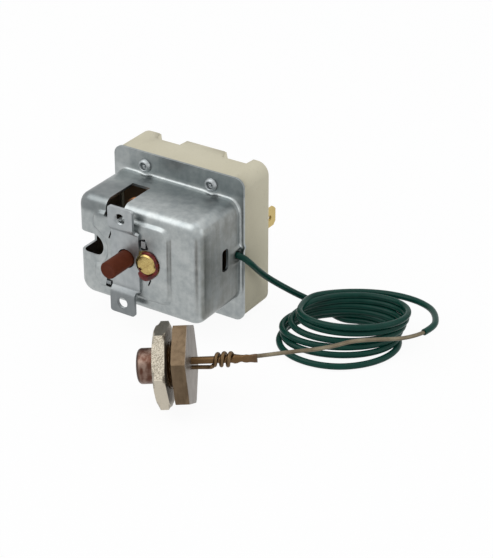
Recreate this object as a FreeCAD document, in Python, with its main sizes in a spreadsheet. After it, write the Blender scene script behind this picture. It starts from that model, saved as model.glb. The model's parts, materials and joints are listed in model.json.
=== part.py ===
"""Capillary safety thermostat with a hand reset, in millimetres.

Frame: the origin is midway between the two ear holes, on the front of the ears.
+X points right, +Y from the reset button into the housing, +Z up.
"""
import FreeCAD, Part
import math
import os
import re

import Sketcher
from FreeCAD import Placement, Rotation, Vector

doc = FreeCAD.newDocument("CapillaryThermostat")
sheet = doc.addObject("Spreadsheet::Sheet", "Sizes")

SIZES = {
    # Housing: its centre line, the cup and the flange round it
    "housing_x": 3.8,
    "cover_front": 3.5,
    "cover_deep": 21.0,
    "cover_half_wide": 22.2,
    "cover_room": 1.65,
    "cover_corner": 4.0,
    "cover_edge": 3.0,
    "sheet_thick": 0.8,
    "flange_rim": 1.2,
    "flange_edge": 4.3,
    "flange_corner": 3.0,
    # Raised panel on the cup's front, by its distance from the cup's sides
    "panel_raise": 1.1,
    "panel_from_right": 9.8,
    "panel_from_top": 2.95,
    "panel_from_bottom": 3.95,
    "panel_from_left": 5.5,
    "panel_slope": 2.4,
    "panel_waist": -7.8,
    "panel_cut": 3.0,
    # Openings of the cup
    "notch_end": -8.9,
    "notch_z": 0.7,
    "notch_half": 3.6,
    "notch_back": 11.5,
    "top_slot_left": -7.6,
    "top_slot_right": -1.2,
    "top_slot_back": 17.3,
    "top_slot_low": 12.0,
    "side_slot_front": 14.9,
    "side_slot_back": 18.2,
    "side_slot_low": -3.0,
    "side_slot_high": 4.2,
    "slit_wide": 0.5,
    "left_slit_x": -5.3,
    "left_slit_z": 6.8,
    "left_slit_long": 3.6,
    "left_slit_lean": 20,
    "lower_slit_x": 8.6,
    "lower_slit_z": -5.6,
    "lower_slit_long": 2.4,
    "lower_slit_lean": 23,
    # Mounting bracket
    "ear_pitch": 28.0,
    "ear_hole": 2.0,
    "ear_half_wide": 4.4,
    "ear_reach": 3.6,
    "ear_corner": 0.9,
    "bracket_thick": 1.0,
    "bracket_right": 5.5,
    "fold_room": 4.0,
    "joggle": 1.4,
    # Inner frame
    "frame_thick": 1.0,
    "frame_left": -8.4,
    "frame_right": 12.2,
    "cheek_room": 0.2,
    "frame_back": 16.8,
    "cheek_left": -5.0,
    "lug_front": 1.9,
    "lug_wide": 1.6,
    "lug_high": 2.2,
    "lug_room": 0.45,
    "upper_lug_x": 6.9,
    "upper_lug_z": 6.7,
    "upper_lug_lean": -20,
    "lower_lug_x": -6.3,
    "lower_lug_inset": 0.05,
    "lower_lug_drop": 0.6,
    "lower_lug_lean": 12,
    # Reset button
    "button_x": 0.8,
    "button_z": 0.7,
    "button_r": 2.7,
    "button_proud": 9.0,
    "button_gap": 0.35,
    "foot_r": 3.5,
    "foot_thick": 1.0,
    "stop_gap": 0.2,
    "pusher_thick": 1.0,
    "pusher_half_high": 3.0,
    # Adjusting screw, bush and lacquer
    "screw_x": 8.0,
    "screw_z": 0.5,
    "screw_head_r": 3.3,
    "screw_front": 1.3,
    "screw_r": 2.5,
    "slot_wide": 0.9,
    "slot_deep": 0.8,
    "slot_lean": -40,
    "bush_r": 4.3,
    "bush_neck_r": 3.5,
    "bush_back": 6.0,
    "lacquer_r": 4.7,
    "lacquer_proud": 0.8,
    # Capsule and thrust pin
    "capsule_r": 8.6,
    "capsule_front": 8.2,
    "capsule_thick": 3.2,
    "boss_long": 0.5,
    "pin_r": 1.8,
    "play": 0.15,
    # Rocker on its pin
    "pivot_x": 1.0,
    "pivot_y": 14.65,
    "rocker_thick": 1.2,
    "rocker_half_high": 5.0,
    "rocker_left": -8.5,
    "rocker_right": 10.0,
    "pivot_r": 1.0,
    "barrel_r": 2.1,
    "running": 0.05,
    "pusher_x": -7.5,
    "latch_thick": 0.4,
    "latch_gap": 0.4,
    "latch_half_high": 2.0,
    "latch_foot": 3.0,
    # Contacts
    "stroke": 1.17,
    "pole_pitch": 12.3,
    "carrier_front": 18.0,
    "carrier_thick": 2.5,
    "finger_half": 2.0,
    "plate_thick": 1.2,
    "plate_ledge": 1.0,
    "strip_thick": 0.8,
    "strip_half_wide": 2.5,
    "contact_r": 1.5,
    "contact_high": 0.6,
    "contact_offset": 5.6,
    "contact_gap": 0.1,
    "blade_thick": 0.5,
    "blade_half_wide": 2.0,
    "spring_wire": 0.5,
    "spring_r": 1.7,
    "spring_turns": 3,
    # Ceramic block and terminals
    "ceramic_deep": 13.4,
    "ceramic_corner": 4.0,
    "ceramic_rim": 0.6,
    "floor_thick": 2.3,
    "chamber_room": 1.7,
    "block_wall": 2.5,
    "rear_recess": 3.4,
    "rib_thick": 1.2,
    "tab_half_wide": 3.15,
    "tab_proud": 8.0,
    "tab_tip": 1.1,
    "tab_hole": 0.85,
    "tab_hole_back": 3.2,
    "tab_inner": 13.5,
    "tab_side": 3.2,
    "tab_shift": 2.6,
    "ledge_half": 2.2,
    "rear_room": 2.4,
    "rear_margin": 1.0,
    "seat_gap": 0.1,
    # Rivets and the rim notches behind them
    "rivet_x": 12.0,
    "rivet_room": 2.75,
    "rivet_r": 1.5,
    "rivet_head_r": 2.2,
    "rivet_head": 1.2,
    "rim_notch_deep": 4.0,
    # Sensor gland: the axis point at the seat of the hexagon, and its directions
    "gland_x": 36.6,
    "gland_y": -23.9,
    "gland_yaw": 28.1,
    "gland_rise": 5.4,
    "gland_across": 22.0,
    "gland_hex_long": 4.1,
    "gland_thread_r": 6.58,
    "gland_thread_long": 5.3,
    "gland_cup_r": 5.1,
    "gland_cup_long": 5.8,
    "nut_turn": 18.3,
    "nut_from_seat": 1.9,
    "nut_thick": 3.6,
    "filler_r": 1.0,
    "filler_lift": 1.2,
    "filler_long": 18.5,
    "pinch_long": 5.6,
    "pinch_half_high": 1.25,
    "pinch_half_thick": 0.55,
    "winding_start": 6.4,
    "winding_long": 5.1,
    # Capillary, its sleeve and the coil
    "capillary_r": 0.6,
    "sleeve_r": 1.05,
    "exit_room": 0.35,
    "coil_x": 60.0,
    "coil_y": 31.0,
    "coil_inner": 13.6,
    "coil_outer": 19.9,
    "coil_front_high": 13.0,
    "coil_back_high": 7.0,
    "coil_lean": 33.0,
}

for row, (name, size) in enumerate(SIZES.items(), 1):
    sheet.set(f"A{row}", name)
    sheet.set(f"B{row}", str(size))
    sheet.setAlias(f"B{row}", name)
doc.recompute()

PATTERN = re.compile(r"\b[a-z]\w*\b")
NODES = {}


def ex(text):
    """Turn size names in a text into references to the sheet."""
    def refer(found):
        word = found.group()
        return "Sizes." + word if word in SIZES else word
    return PATTERN.sub(refer, str(text))


def value(text):
    """Work out an expression on the sheet's sizes."""
    result = sheet.evalExpression(ex(text))
    return float(getattr(result, "Value", result))


def point(x, y, z):
    return Vector(value(x), value(y), value(z))


def tie(thing, path, text):
    thing.setExpression(path, ex(text))


def node(name, thing):
    """Register a finished piece under its name."""
    thing.Label = name
    NODES[name] = thing
    return thing


# Planes along Y, each from the driving sizes
FLANGE = "(cover_front + cover_deep)"
FLANGE_BACK = f"({FLANGE} + sheet_thick)"
PANEL = "(cover_front - panel_raise)"
PANEL_BACK = f"({PANEL} + sheet_thick)"
FRAME = "(cover_front + sheet_thick)"
FRAME_BACK = f"({FRAME} + frame_thick)"
BUTTON_STROKE = "((pivot_x - pusher_x) / (screw_x - pivot_x) * stroke)"
FOOT = f"({FRAME_BACK} + {BUTTON_STROKE} + stop_gap)"
FOOT_BACK = f"({FOOT} + foot_thick)"
CAPSULE_BACK = "(capsule_front + capsule_thick + boss_long)"
ROCKER_FRONT = "(pivot_y - rocker_thick / 2)"
ROCKER_BACK = "(pivot_y + rocker_thick / 2)"
STRIP = f"({FLANGE_BACK} + plate_thick + seat_gap)"
STRIP_BACK = f"({STRIP} + strip_thick)"
CONTACT = f"({STRIP_BACK} + contact_high)"
BLADE = f"({CONTACT} + contact_gap + blade_thick)"
BLADE_BACK = f"({BLADE} + blade_thick)"
CERAMIC_BACK = f"({FLANGE_BACK} + ceramic_deep)"
FLOOR = f"({CERAMIC_BACK} - rear_recess - floor_thick)"
# Half heights and half widths, each from what it goes round
COVER_HIGH = "(pole_pitch + finger_half + cover_room + sheet_thick)"
RIVET_Z = f"({COVER_HIGH} + rivet_room)"
FLANGE_HIGH = f"({RIVET_Z} + flange_edge)"
GROUND = f"(0 - {FLANGE_HIGH})"
CHAMBER_HIGH = "(pole_pitch + finger_half + chamber_room)"
PLATE_HIGH = f"({CHAMBER_HIGH} + plate_ledge)"
FRAME_HIGH = "(capsule_r + screw_z + cheek_room + frame_thick)"
FLANGE_WIDE = "(cover_half_wide + flange_rim)"
CHAMBER_WIDE = f"({FLANGE_WIDE} - block_wall)"
PLATE_WIDE = f"({CHAMBER_WIDE} + seat_gap)"
TAB_OUTER = f"({FLANGE_WIDE} - tab_side)"
LOWER_LUG_Z = f"(lug_high / 4 + lower_lug_inset - {FRAME_HIGH})"
POLES = {"top": "pole_pitch", "middle": "0", "bottom": "(0 - pole_pitch)"}

TURN_FROM_Z = {
    "x": Rotation(Vector(0, 1, 0), 90),
    "y": Rotation(Vector(1, 0, 0), -90),
    "z": Rotation(),
}
TURN_FROM_X = {
    "x": Rotation(),
    "y": Rotation(Vector(0, 0, 1), 90),
    "z": Rotation(Vector(0, 1, 0), -90),
}


def settle(thing, turn, start):
    """Place a piece by its turn and the expressions of its start."""
    thing.Placement = Placement(Vector(), turn)
    for axis, text in zip("xyz", start):
        tie(thing, f"Placement.Base.{axis}", text)


def box(name, x, y, z):
    """Block between two expressions along each axis."""
    block = doc.addObject("Part::Box", name)
    for side, axis, (low, high) in zip(("Length", "Width", "Height"), "xyz", (x, y, z)):
        tie(block, side, f"({high}) - ({low})")
        tie(block, f"Placement.Base.{axis}", low)
    return block


def rod(name, radius, start, length, axis):
    """Cylinder from a start point along +X, +Y or +Z."""
    cylinder = doc.addObject("Part::Cylinder", name)
    tie(cylinder, "Radius", radius)
    tie(cylinder, "Height", length)
    settle(cylinder, TURN_FROM_Z[axis], start)
    return cylinder


def ball(name, radius, centre):
    sphere = doc.addObject("Part::Sphere", name)
    tie(sphere, "Radius", radius)
    settle(sphere, Rotation(), centre)
    return sphere


def fuse(name, *pieces):
    joined = doc.addObject("Part::MultiFuse", name)
    joined.Shapes = list(pieces)
    joined.Refine = True
    return joined


def cut(name, base, *tools):
    result = doc.addObject("Part::Cut", name)
    result.Base = base
    result.Tool = tools[0] if len(tools) == 1 else fuse(name + "_cutters", *tools)
    result.Refine = True
    return result


def sketch_on(body, name, plane, offset="0"):
    """Sketch on one of the body's own planes, moved along its normal."""
    sketch = body.newObject("Sketcher::SketchObject", name)
    origin = next(face for face in body.Origin.OriginFeatures if face.Role == plane)
    sketch.AttachmentSupport = [(origin, "")]
    sketch.MapMode = "FlatFace"
    tie(sketch, "AttachmentOffset.Base.z", offset)
    return sketch


def outline(sketch, corners):
    """Closed outline whose corners are pairs of expressions."""
    places = [Vector(value(across), value(up), 0) for across, up in corners]
    first = sketch.GeometryCount
    for start, end in zip(places, places[1:] + places[:1]):
        sketch.addGeometry(Part.LineSegment(start, end), False)
    for number, (across, up) in enumerate(corners):
        line = first + number
        after = first + (number + 1) % len(corners)
        sketch.addConstraint(Sketcher.Constraint("Coincident", line, 2, after, 1))
        for kind, text in (("DistanceX", across), ("DistanceY", up)):
            size = Sketcher.Constraint(kind, -1, 1, line, 1, value(text))
            index = sketch.addConstraint(size)
            tie(sketch, f"Constraints[{index}]", text)


def rectangle(sketch, left, right, low, high):
    outline(sketch, [(left, low), (right, low), (right, high), (left, high)])


def pad(body, name, sketch, length, backwards=True):
    """Extrude a sketch; on the XZ plane, backwards means towards +Y."""
    solid = body.newObject("PartDesign::Pad", name)
    solid.Profile = sketch
    solid.Reversed = backwards
    tie(solid, "Length", length)
    sketch.Visibility = False
    return solid


def round_edges(body, name, radius, wanted):
    """Fillet the edges of the body for which wanted says yes."""
    doc.recompute()
    base = body.Tip
    edges = [f"Edge{number}" for number, edge in enumerate(base.Shape.Edges, 1) if wanted(edge)]
    rounded = body.newObject("PartDesign::Fillet", name)
    rounded.Base = (base, edges)
    tie(rounded, "Radius", radius)
    return rounded


def runs_along(edge, axis):
    """True for a straight edge in one direction."""
    spread = [edge.BoundBox.XLength, edge.BoundBox.YLength, edge.BoundBox.ZLength]
    return spread["xyz".index(axis)] > 0.1 and sum(spread) - spread["xyz".index(axis)] < 1e-6


def lies_at_y(edge, place):
    box_of = edge.BoundBox
    return abs(box_of.YMin - place) < 1e-6 and abs(box_of.YMax - place) < 1e-6


def turned(name, profile, start, axis="y"):
    """Turned piece: profile is (along, radius) pairs, turned about its axis."""
    body = doc.addObject("PartDesign::Body", name)
    sketch = sketch_on(body, name + "_profile", "XY_Plane")
    outline(sketch, profile)
    spin = body.newObject("PartDesign::Revolution", name + "_spin")
    spin.Profile = sketch
    spin.ReferenceAxis = (sketch, ["H_Axis"])
    spin.Angle = 360
    settle(body, TURN_FROM_X[axis], start)
    return body


def panel_corners(grow):
    """Outline of the raised panel with its waist at the notch, moved inward by grow."""
    left = f"(housing_x - cover_half_wide + panel_from_left + {grow})"
    right = f"(housing_x + cover_half_wide - panel_from_right - {grow})"
    low = f"(panel_from_bottom - {COVER_HIGH} + {grow})"
    high = f"({COVER_HIGH} - panel_from_top - {grow})"
    waist = f"(panel_waist + {grow})"
    return [
        (f"{left} + panel_cut", low),
        (f"{right} - panel_cut", low),
        (f"{right} - panel_cut * 0.3", f"{low} + panel_cut * 0.3"),
        (right, f"{low} + panel_cut"),
        (right, f"{high} - panel_cut"),
        (f"{right} - panel_cut * 0.3", f"{high} - panel_cut * 0.3"),
        (f"{right} - panel_cut", high),
        (f"{left} + panel_cut", high),
        (left, f"{high} - panel_cut"),
        (f"({left} + {waist}) / 2 - 0.5", "notch_z + notch_half + 2"),
        (f"{waist} - 0.7", "notch_z + notch_half * 0.75"),
        (waist, "notch_z + 0.6"),
        (f"{waist} - 0.6", "notch_z - notch_half * 0.55"),
        (f"({left} + {waist}) / 2 - 0.5", "notch_z - notch_half - 0.9"),
        (left, f"{low} + panel_cut"),
    ]


def drawn_form(name, inset):
    """Cup with its raised panel, moved inward by inset on every side."""
    body = doc.addObject("PartDesign::Body", name)
    front = f"(cover_front + {inset})"
    cup = sketch_on(body, name + "_cup", "XZ_Plane", f"0 - {front}")
    rectangle(
        cup,
        f"housing_x - cover_half_wide + {inset}",
        f"housing_x + cover_half_wide - {inset}",
        f"{inset} - {COVER_HIGH}",
        f"{COVER_HIGH} - {inset}",
    )
    pad(body, name + "_depth", cup, f"cover_deep + sheet_thick - {inset}")
    round_edges(body, name + "_corners", f"cover_corner - {inset}", lambda edge: runs_along(edge, "y"))
    face = value(front)
    round_edges(body, name + "_front_edge", f"cover_edge - {inset}", lambda edge: lies_at_y(edge, face))
    foot = sketch_on(body, name + "_panel_foot", "XZ_Plane", f"0 - {front} - sheet_thick / 8")
    outline(foot, panel_corners(inset))
    crown = sketch_on(body, name + "_panel_crown", "XZ_Plane", f"0 - {front} + panel_raise")
    outline(crown, panel_corners(f"(panel_slope + {inset} / 2)"))
    raised = body.newObject("PartDesign::AdditiveLoft", name + "_panel")
    raised.Profile = foot
    raised.Sections = [crown]
    raised.Ruled = True
    return body


def slit(name, x, z, long, wide, lean):
    """Narrow opening through the panel, leaning from upright."""
    opening = doc.addObject("Part::Box", name)
    tie(opening, "Length", wide)
    tie(opening, "Width", "panel_raise + sheet_thick + 1")
    tie(opening, "Height", long)
    turn = Rotation(Vector(0, 1, 0), value(lean))
    middle = turn.multVec(Vector(value(wide) / 2, 0, value(long) / 2))
    corner = Vector(value(x), value(f"{PANEL} - 0.5"), value(z)) - middle
    opening.Placement = Placement(corner, turn)
    return opening


def front_cover():
    """Deep-drawn cup and flange in one sheet, with its openings."""
    body = doc.addObject("PartDesign::Body", "flange_sheet")
    sheet_outline = sketch_on(body, "flange_outline", "XZ_Plane", f"0 - {FLANGE}")
    rectangle(
        sheet_outline,
        f"housing_x - {FLANGE_WIDE}",
        f"housing_x + {FLANGE_WIDE}",
        GROUND,
        FLANGE_HIGH,
    )
    pad(body, "flange_depth", sheet_outline, "sheet_thick")
    round_edges(body, "flange_corners", "flange_corner", lambda edge: runs_along(edge, "y"))
    shell = fuse("cover_outside", drawn_form("cup_outside", "0"), body)
    notch_low = "notch_z - notch_half"
    notch_high = "notch_z + notch_half"
    left_side = "housing_x - cover_half_wide - 1"
    round_end = "(notch_end - notch_half)"
    openings = [
        drawn_form("cup_inside", "sheet_thick"),
        box("notch_run", (left_side, round_end), ("0", "notch_back"), (notch_low, notch_high)),
        rod("notch_round", "notch_half", (round_end, "0", "notch_z"), "notch_back", "y"),
        box(
            "top_slot",
            ("top_slot_left", "top_slot_right"),
            ("0", "top_slot_back"),
            ("top_slot_low", f"{COVER_HIGH} + 1"),
        ),
        box(
            "side_slot",
            ("housing_x + cover_half_wide - 2 * sheet_thick", "housing_x + cover_half_wide + 1"),
            ("side_slot_front", "side_slot_back"),
            ("side_slot_low", "side_slot_high"),
        ),
        rod(
            "sleeve_hole",
            "sleeve_r + exit_room",
            ("housing_x + cover_half_wide - 3", EXIT_Y, EXIT_Z),
            "6",
            "x",
        ),
        rod("button_hole", "button_r + button_gap", ("button_x", "0", "button_z"), "cover_front + 3", "y"),
        rod("bush_hole", "bush_r + seat_gap", ("screw_x", "0", "screw_z"), "cover_front + 3", "y"),
        slit("left_slit", "left_slit_x", "left_slit_z", "left_slit_long", "slit_wide", "left_slit_lean"),
        slit(
            "upper_lug_slot",
            "upper_lug_x",
            "upper_lug_z",
            "lug_high + 3 * lug_room",
            "lug_wide + 3 * lug_room",
            "upper_lug_lean",
        ),
        slit("lower_slit", "lower_slit_x", "lower_slit_z", "lower_slit_long", "slit_wide", "lower_slit_lean"),
        slit(
            "lower_lug_slot",
            "lower_lug_x",
            f"{LOWER_LUG_Z} - lower_lug_drop",
            "lug_high + 2 * lug_room",
            "lug_wide + 2 * lug_room",
            "lower_lug_lean",
        ),
    ]
    for side in (-1, 1):
        for rise in (-1, 1):
            openings.append(rod(
                f"flange_hole_{side + 1}_{rise + 1}",
                "rivet_r",
                (f"housing_x + {side} * rivet_x", f"{FLANGE} - 1", f"{rise} * {RIVET_Z}"),
                "sheet_thick + 2",
                "y",
            ))
    node("front_cover", cut("front_cover_solid", shell, *openings))


def mounting_bracket():
    """Folded strip: plate on the panel, joggled forward into an ear at each end."""
    body = doc.addObject("PartDesign::Body", "bracket_strip")
    side = sketch_on(body, "bracket_side", "YZ_Plane", "0 - ear_half_wide")
    plate = f"({PANEL} - bracket_thick)"
    fold = "(ear_pitch / 2 - fold_room)"
    end = "(ear_pitch / 2 + ear_reach)"
    upper = [
        (plate, f"{fold} - joggle / 2"),
        ("0", f"{fold} + joggle / 2"),
        ("0", end),
        ("bracket_thick", end),
        ("bracket_thick", f"{fold} + joggle"),
        (f"{plate} + bracket_thick", f"{fold}"),
    ]
    lower = [(across, f"0 - ({up})") for across, up in reversed(upper)]
    outline(side, upper + lower)
    pad(body, "bracket_width", side, "2 * ear_half_wide", backwards=False)
    round_edges(body, "ear_corners", "ear_corner", lambda edge: runs_along(edge, "y"))
    wing = box("bracket_wing", ("ear_half_wide - 1", "bracket_right"), (plate, PANEL), (f"0 - {fold}", fold))
    strip = fuse("bracket_blank", body, wing)
    holes = [
        rod(f"ear_hole_{up + 1}", "ear_hole", ("0", "0 - 1", f"{up} * ear_pitch / 2"), "bracket_thick + 2", "y")
        for up in (-1, 1)
    ]
    holes.append(rod("plate_hole", "button_r + button_gap", ("button_x", "0", "button_z"), "cover_front", "y"))
    holes.append(rod("screw_relief", "screw_head_r + button_gap", ("screw_x", "0", "screw_z"), "cover_front", "y"))
    node("mounting_bracket", cut("bracket_solid", strip, *holes))


def inner_frame():
    """Channel behind the panel that carries the bush, the rocker pin and the lugs."""
    web = box(
        "frame_web",
        ("frame_left", "frame_right"),
        (FRAME, FRAME_BACK),
        (f"0 - {FRAME_HIGH}", FRAME_HIGH),
    )
    pieces = [web]
    for name, low in (("upper", f"{FRAME_HIGH} - frame_thick"), ("lower", f"0 - {FRAME_HIGH}")):
        pieces.append(box(
            f"{name}_cheek",
            ("cheek_left", "frame_right"),
            (FRAME, "frame_back"),
            (low, f"{low} + frame_thick"),
        ))
    pieces.append(box(
        "upper_lug",
        ("upper_lug_x - lug_wide / 2", "upper_lug_x + lug_wide / 2"),
        ("lug_front", FRAME),
        ("upper_lug_z - lug_high / 2", "upper_lug_z + lug_high / 2"),
    ))
    pieces.append(box(
        "lower_lug",
        ("lower_lug_x - lug_wide / 2", "lower_lug_x + lug_wide / 2"),
        ("lug_front", FRAME),
        (f"{LOWER_LUG_Z} - lug_high / 4", f"{LOWER_LUG_Z} + lug_high / 4"),
    ))
    blank = fuse("frame_blank", *pieces)
    holes = [
        rod("frame_button_hole", "button_r + button_gap", ("button_x", "0", "button_z"), "8", "y"),
        rod("frame_bush_hole", "bush_neck_r", ("screw_x", "0", "screw_z"), "8", "y"),
        rod("pivot_hole", "pivot_r", ("pivot_x", "pivot_y", f"0 - {FRAME_HIGH} - 1"), f"2 * {FRAME_HIGH} + 2", "z"),
    ]
    node("inner_frame", cut("frame_solid", blank, *holes))


def reset_button():
    """Moulded button with a foot behind the frame."""
    tip = f"({PANEL} - bracket_thick - button_proud)"
    profile = [
        ("0", "0"),
        ("0", "button_r - 0.4"),
        ("0.4", "button_r"),
        (f"{FOOT} - {tip}", "button_r"),
        (f"{FOOT} - {tip}", "foot_r"),
        (f"{FOOT_BACK} - {tip}", "foot_r"),
        (f"{FOOT_BACK} - {tip}", "0"),
    ]
    node("reset_button", turned("button_solid", profile, ("button_x", tip, "button_z")))


def reset_pusher():
    """Folded strip from the button's foot past the capsule to the rocker."""
    back = f"({FOOT_BACK} + pusher_thick)"
    height = ("button_z - pusher_half_high", "button_z + pusher_half_high")
    arm = box("pusher_arm", ("pusher_x", "screw_x - capsule_r - 0.4"), (FOOT_BACK, back), height)
    leg = box("pusher_leg", ("pusher_x", "pusher_x + pusher_thick"), (FOOT_BACK, f"{ROCKER_FRONT} - play"), height)
    node("reset_pusher", fuse("pusher_solid", arm, leg))


def adjusting_screw():
    """Slotted brass screw that sets the capsule's place."""
    profile = [
        ("0", "0"),
        ("0", "screw_head_r - 0.4"),
        ("0.4", "screw_head_r"),
        (f"{PANEL} - screw_front", "screw_head_r"),
        (f"{PANEL} - screw_front", "screw_r"),
        ("capsule_front - screw_front", "screw_r"),
        ("capsule_front - screw_front", "0"),
    ]
    blank = turned("screw_blank", profile, ("screw_x", "screw_front", "screw_z"))
    slot = doc.addObject("Part::Box", "screw_slot")
    tie(slot, "Length", "3 * screw_head_r")
    tie(slot, "Width", "slot_deep + 1")
    tie(slot, "Height", "slot_wide")
    turn = Rotation(Vector(0, 1, 0), value("slot_lean"))
    middle = turn.multVec(Vector(value("1.5 * screw_head_r"), 0, value("slot_wide / 2")))
    slot.Placement = Placement(point("screw_x", "screw_front - 1", "screw_z") - middle, turn)
    node("adjusting_screw", cut("screw_solid", blank, slot))


def screw_bush():
    """Flanged threaded bush riveted into the frame."""
    profile = [
        ("0", "screw_r"),
        ("0", "bush_r"),
        (f"{PANEL_BACK} - {PANEL}", "bush_r"),
        (f"{PANEL_BACK} - {PANEL}", "bush_neck_r"),
        (f"bush_back - {PANEL}", "bush_neck_r"),
        (f"bush_back - {PANEL}", "screw_r"),
    ]
    node("screw_bush", turned("bush_solid", profile, ("screw_x", PANEL, "screw_z")))


def lacquer_seal():
    """Ring of sealing lacquer between the screw head and the panel."""
    profile = [
        ("0", "screw_head_r"),
        ("lacquer_proud * 0.6", "lacquer_r"),
        ("lacquer_proud", "lacquer_r"),
        ("lacquer_proud", "screw_head_r"),
    ]
    ring = turned("lacquer_ring", profile, ("screw_x", f"{PANEL} - lacquer_proud", "screw_z"))
    beside = box(
        "bracket_room",
        ("screw_x - 2 * lacquer_r", "bracket_right + running"),
        ("0", PANEL),
        ("screw_z - 2 * lacquer_r", "screw_z + 2 * lacquer_r"),
    )
    node("lacquer_seal", cut("lacquer_solid", ring, beside))


def diaphragm_capsule():
    """Sealed capsule on the end of the adjusting screw."""
    profile = [
        ("0", "0"),
        ("0", "screw_r + 1"),
        ("0.6", "screw_r + 2"),
        ("capsule_thick * 0.35", "capsule_r - 0.6"),
        ("capsule_thick * 0.35", "capsule_r"),
        ("capsule_thick * 0.65", "capsule_r"),
        ("capsule_thick * 0.65", "capsule_r - 0.6"),
        ("capsule_thick - 0.3", "pin_r + 2"),
        ("capsule_thick", "pin_r"),
        ("capsule_thick + boss_long", "pin_r"),
        ("capsule_thick + boss_long", "0"),
    ]
    node("diaphragm_capsule", turned("capsule_solid", profile, ("screw_x", "capsule_front", "screw_z")))


def thrust_pin():
    """Ceramic pin with a ball end towards the rocker."""
    shank = rod(
        "pin_shank",
        "pin_r",
        ("screw_x", CAPSULE_BACK, "screw_z"),
        f"{ROCKER_FRONT} - play - pin_r - {CAPSULE_BACK}",
        "y",
    )
    tip = ball("pin_tip", "pin_r", ("screw_x", f"{ROCKER_FRONT} - play - pin_r", "screw_z"))
    behind = box(
        "pin_tip_room",
        ("screw_x - 2 * pin_r", "screw_x + 2 * pin_r"),
        (CAPSULE_BACK, ROCKER_BACK),
        ("screw_z - 2 * pin_r", "screw_z + 2 * pin_r"),
    )
    rounded = doc.addObject("Part::MultiCommon", "pin_tip_kept")
    rounded.Shapes = [tip, behind]
    node("thrust_pin", fuse("pin_solid", shank, rounded))


def trip_rocker():
    """Rocker plate with a barrel on the pivot pin."""
    plate = box(
        "rocker_plate",
        ("rocker_left", "rocker_right"),
        (ROCKER_FRONT, ROCKER_BACK),
        ("0 - rocker_half_high", "rocker_half_high"),
    )
    barrel = rod("rocker_barrel", "barrel_r", ("pivot_x", "pivot_y", "0 - rocker_half_high"), "2 * rocker_half_high", "z")
    bore = rod(
        "rocker_bore",
        "pivot_r + running",
        ("pivot_x", "pivot_y", "0 - rocker_half_high - 1"),
        "2 * rocker_half_high + 2",
        "z",
    )
    node("trip_rocker", cut("rocker_solid", fuse("rocker_blank", plate, barrel), bore))


def rocker_pin():
    """Pin through both cheeks of the frame."""
    pin = rod("pivot_pin", "pivot_r", ("pivot_x", "pivot_y", f"0 - {FRAME_HIGH}"), f"2 * {FRAME_HIGH}", "z")
    node("rocker_pin", pin)


def latch_spring():
    """Leaf spring on the frame, beside the rocker's left end."""
    height = ("0 - latch_half_high", "latch_half_high")
    outer = "(rocker_left - latch_gap - latch_thick)"
    back = f"({FRAME_BACK} + latch_thick)"
    foot = box("latch_base", (outer, "frame_left + latch_foot"), (FRAME_BACK, back), height)
    arm = box("latch_arm", (outer, f"{outer} + latch_thick"), (FRAME_BACK, f"{ROCKER_BACK} + latch_gap"), height)
    node("latch_spring", fuse("latch_solid", foot, arm))


def contact_carrier():
    """Moulded carrier: a nose at the rocker, a bar and one finger for each pole."""
    bar = box(
        "carrier_bar",
        ("housing_x - finger_half", "screw_x + finger_half"),
        ("carrier_front", "carrier_front + carrier_thick"),
        ("0 - pole_pitch - finger_half", "pole_pitch + finger_half"),
    )
    nose = ball("carrier_nose", "finger_half", ("screw_x", f"{ROCKER_BACK} + play + finger_half", "screw_z"))
    stem = rod(
        "carrier_stem",
        "finger_half",
        ("screw_x", f"{ROCKER_BACK} + play + finger_half", "screw_z"),
        f"carrier_front - {ROCKER_BACK} - play - finger_half",
        "y",
    )
    fingers = [
        box(
            f"{pole}_finger",
            ("housing_x - finger_half", "housing_x + finger_half"),
            ("carrier_front", BLADE),
            (f"{place} - finger_half", f"{place} + finger_half"),
        )
        for pole, place in POLES.items()
    ]
    node("contact_carrier", fuse("carrier_solid", bar, nose, stem, *fingers))


def bridges():
    """A moving blade for each pole, with a silver contact at each end."""
    contacts = []
    for pole, place in POLES.items():
        blade = box(
            f"{pole}_blade",
            ("housing_x - contact_offset - contact_r - 0.4", "housing_x + contact_offset + contact_r + 0.4"),
            (BLADE, BLADE_BACK),
            (f"{place} - blade_half_wide", f"{place} + blade_half_wide"),
        )
        node(f"bridge_{pole}", blade)
        for side in (-1, 1):
            contacts.append(rod(
                f"{pole}_moving_{side + 1}",
                "contact_r",
                (f"housing_x + {side} * contact_offset", f"{CONTACT} + contact_gap", place),
                "blade_thick",
                "y",
            ))
    node("moving_contacts", fuse("moving_contact_set", *contacts))


def contact_springs():
    """A coil spring behind each blade, from the blade to the chamber's floor."""
    springs = []
    for pole, place in POLES.items():
        body = doc.addObject("PartDesign::Body", f"{pole}_spring")
        wire = sketch_on(body, f"{pole}_wire", "XZ_Plane")
        half = "spring_wire / 2"
        rectangle(wire, f"spring_r - {half}", f"spring_r + {half}", f"0 - {half}", half)
        coil = body.newObject("PartDesign::AdditiveHelix", f"{pole}_coil")
        coil.Profile = wire
        coil.ReferenceAxis = (wire, ["V_Axis"])
        coil.Mode = "height-turns-growth"
        tie(coil, "Height", f"{FLOOR} - {BLADE_BACK} - spring_wire - seat_gap")
        tie(coil, "Turns", "spring_turns")
        settle(body, TURN_FROM_Z["y"], ("housing_x", f"{BLADE_BACK} + spring_wire / 2 + seat_gap / 2", place))
        springs.append(body)
    node("contact_springs", fuse("spring_set", *springs))


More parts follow.
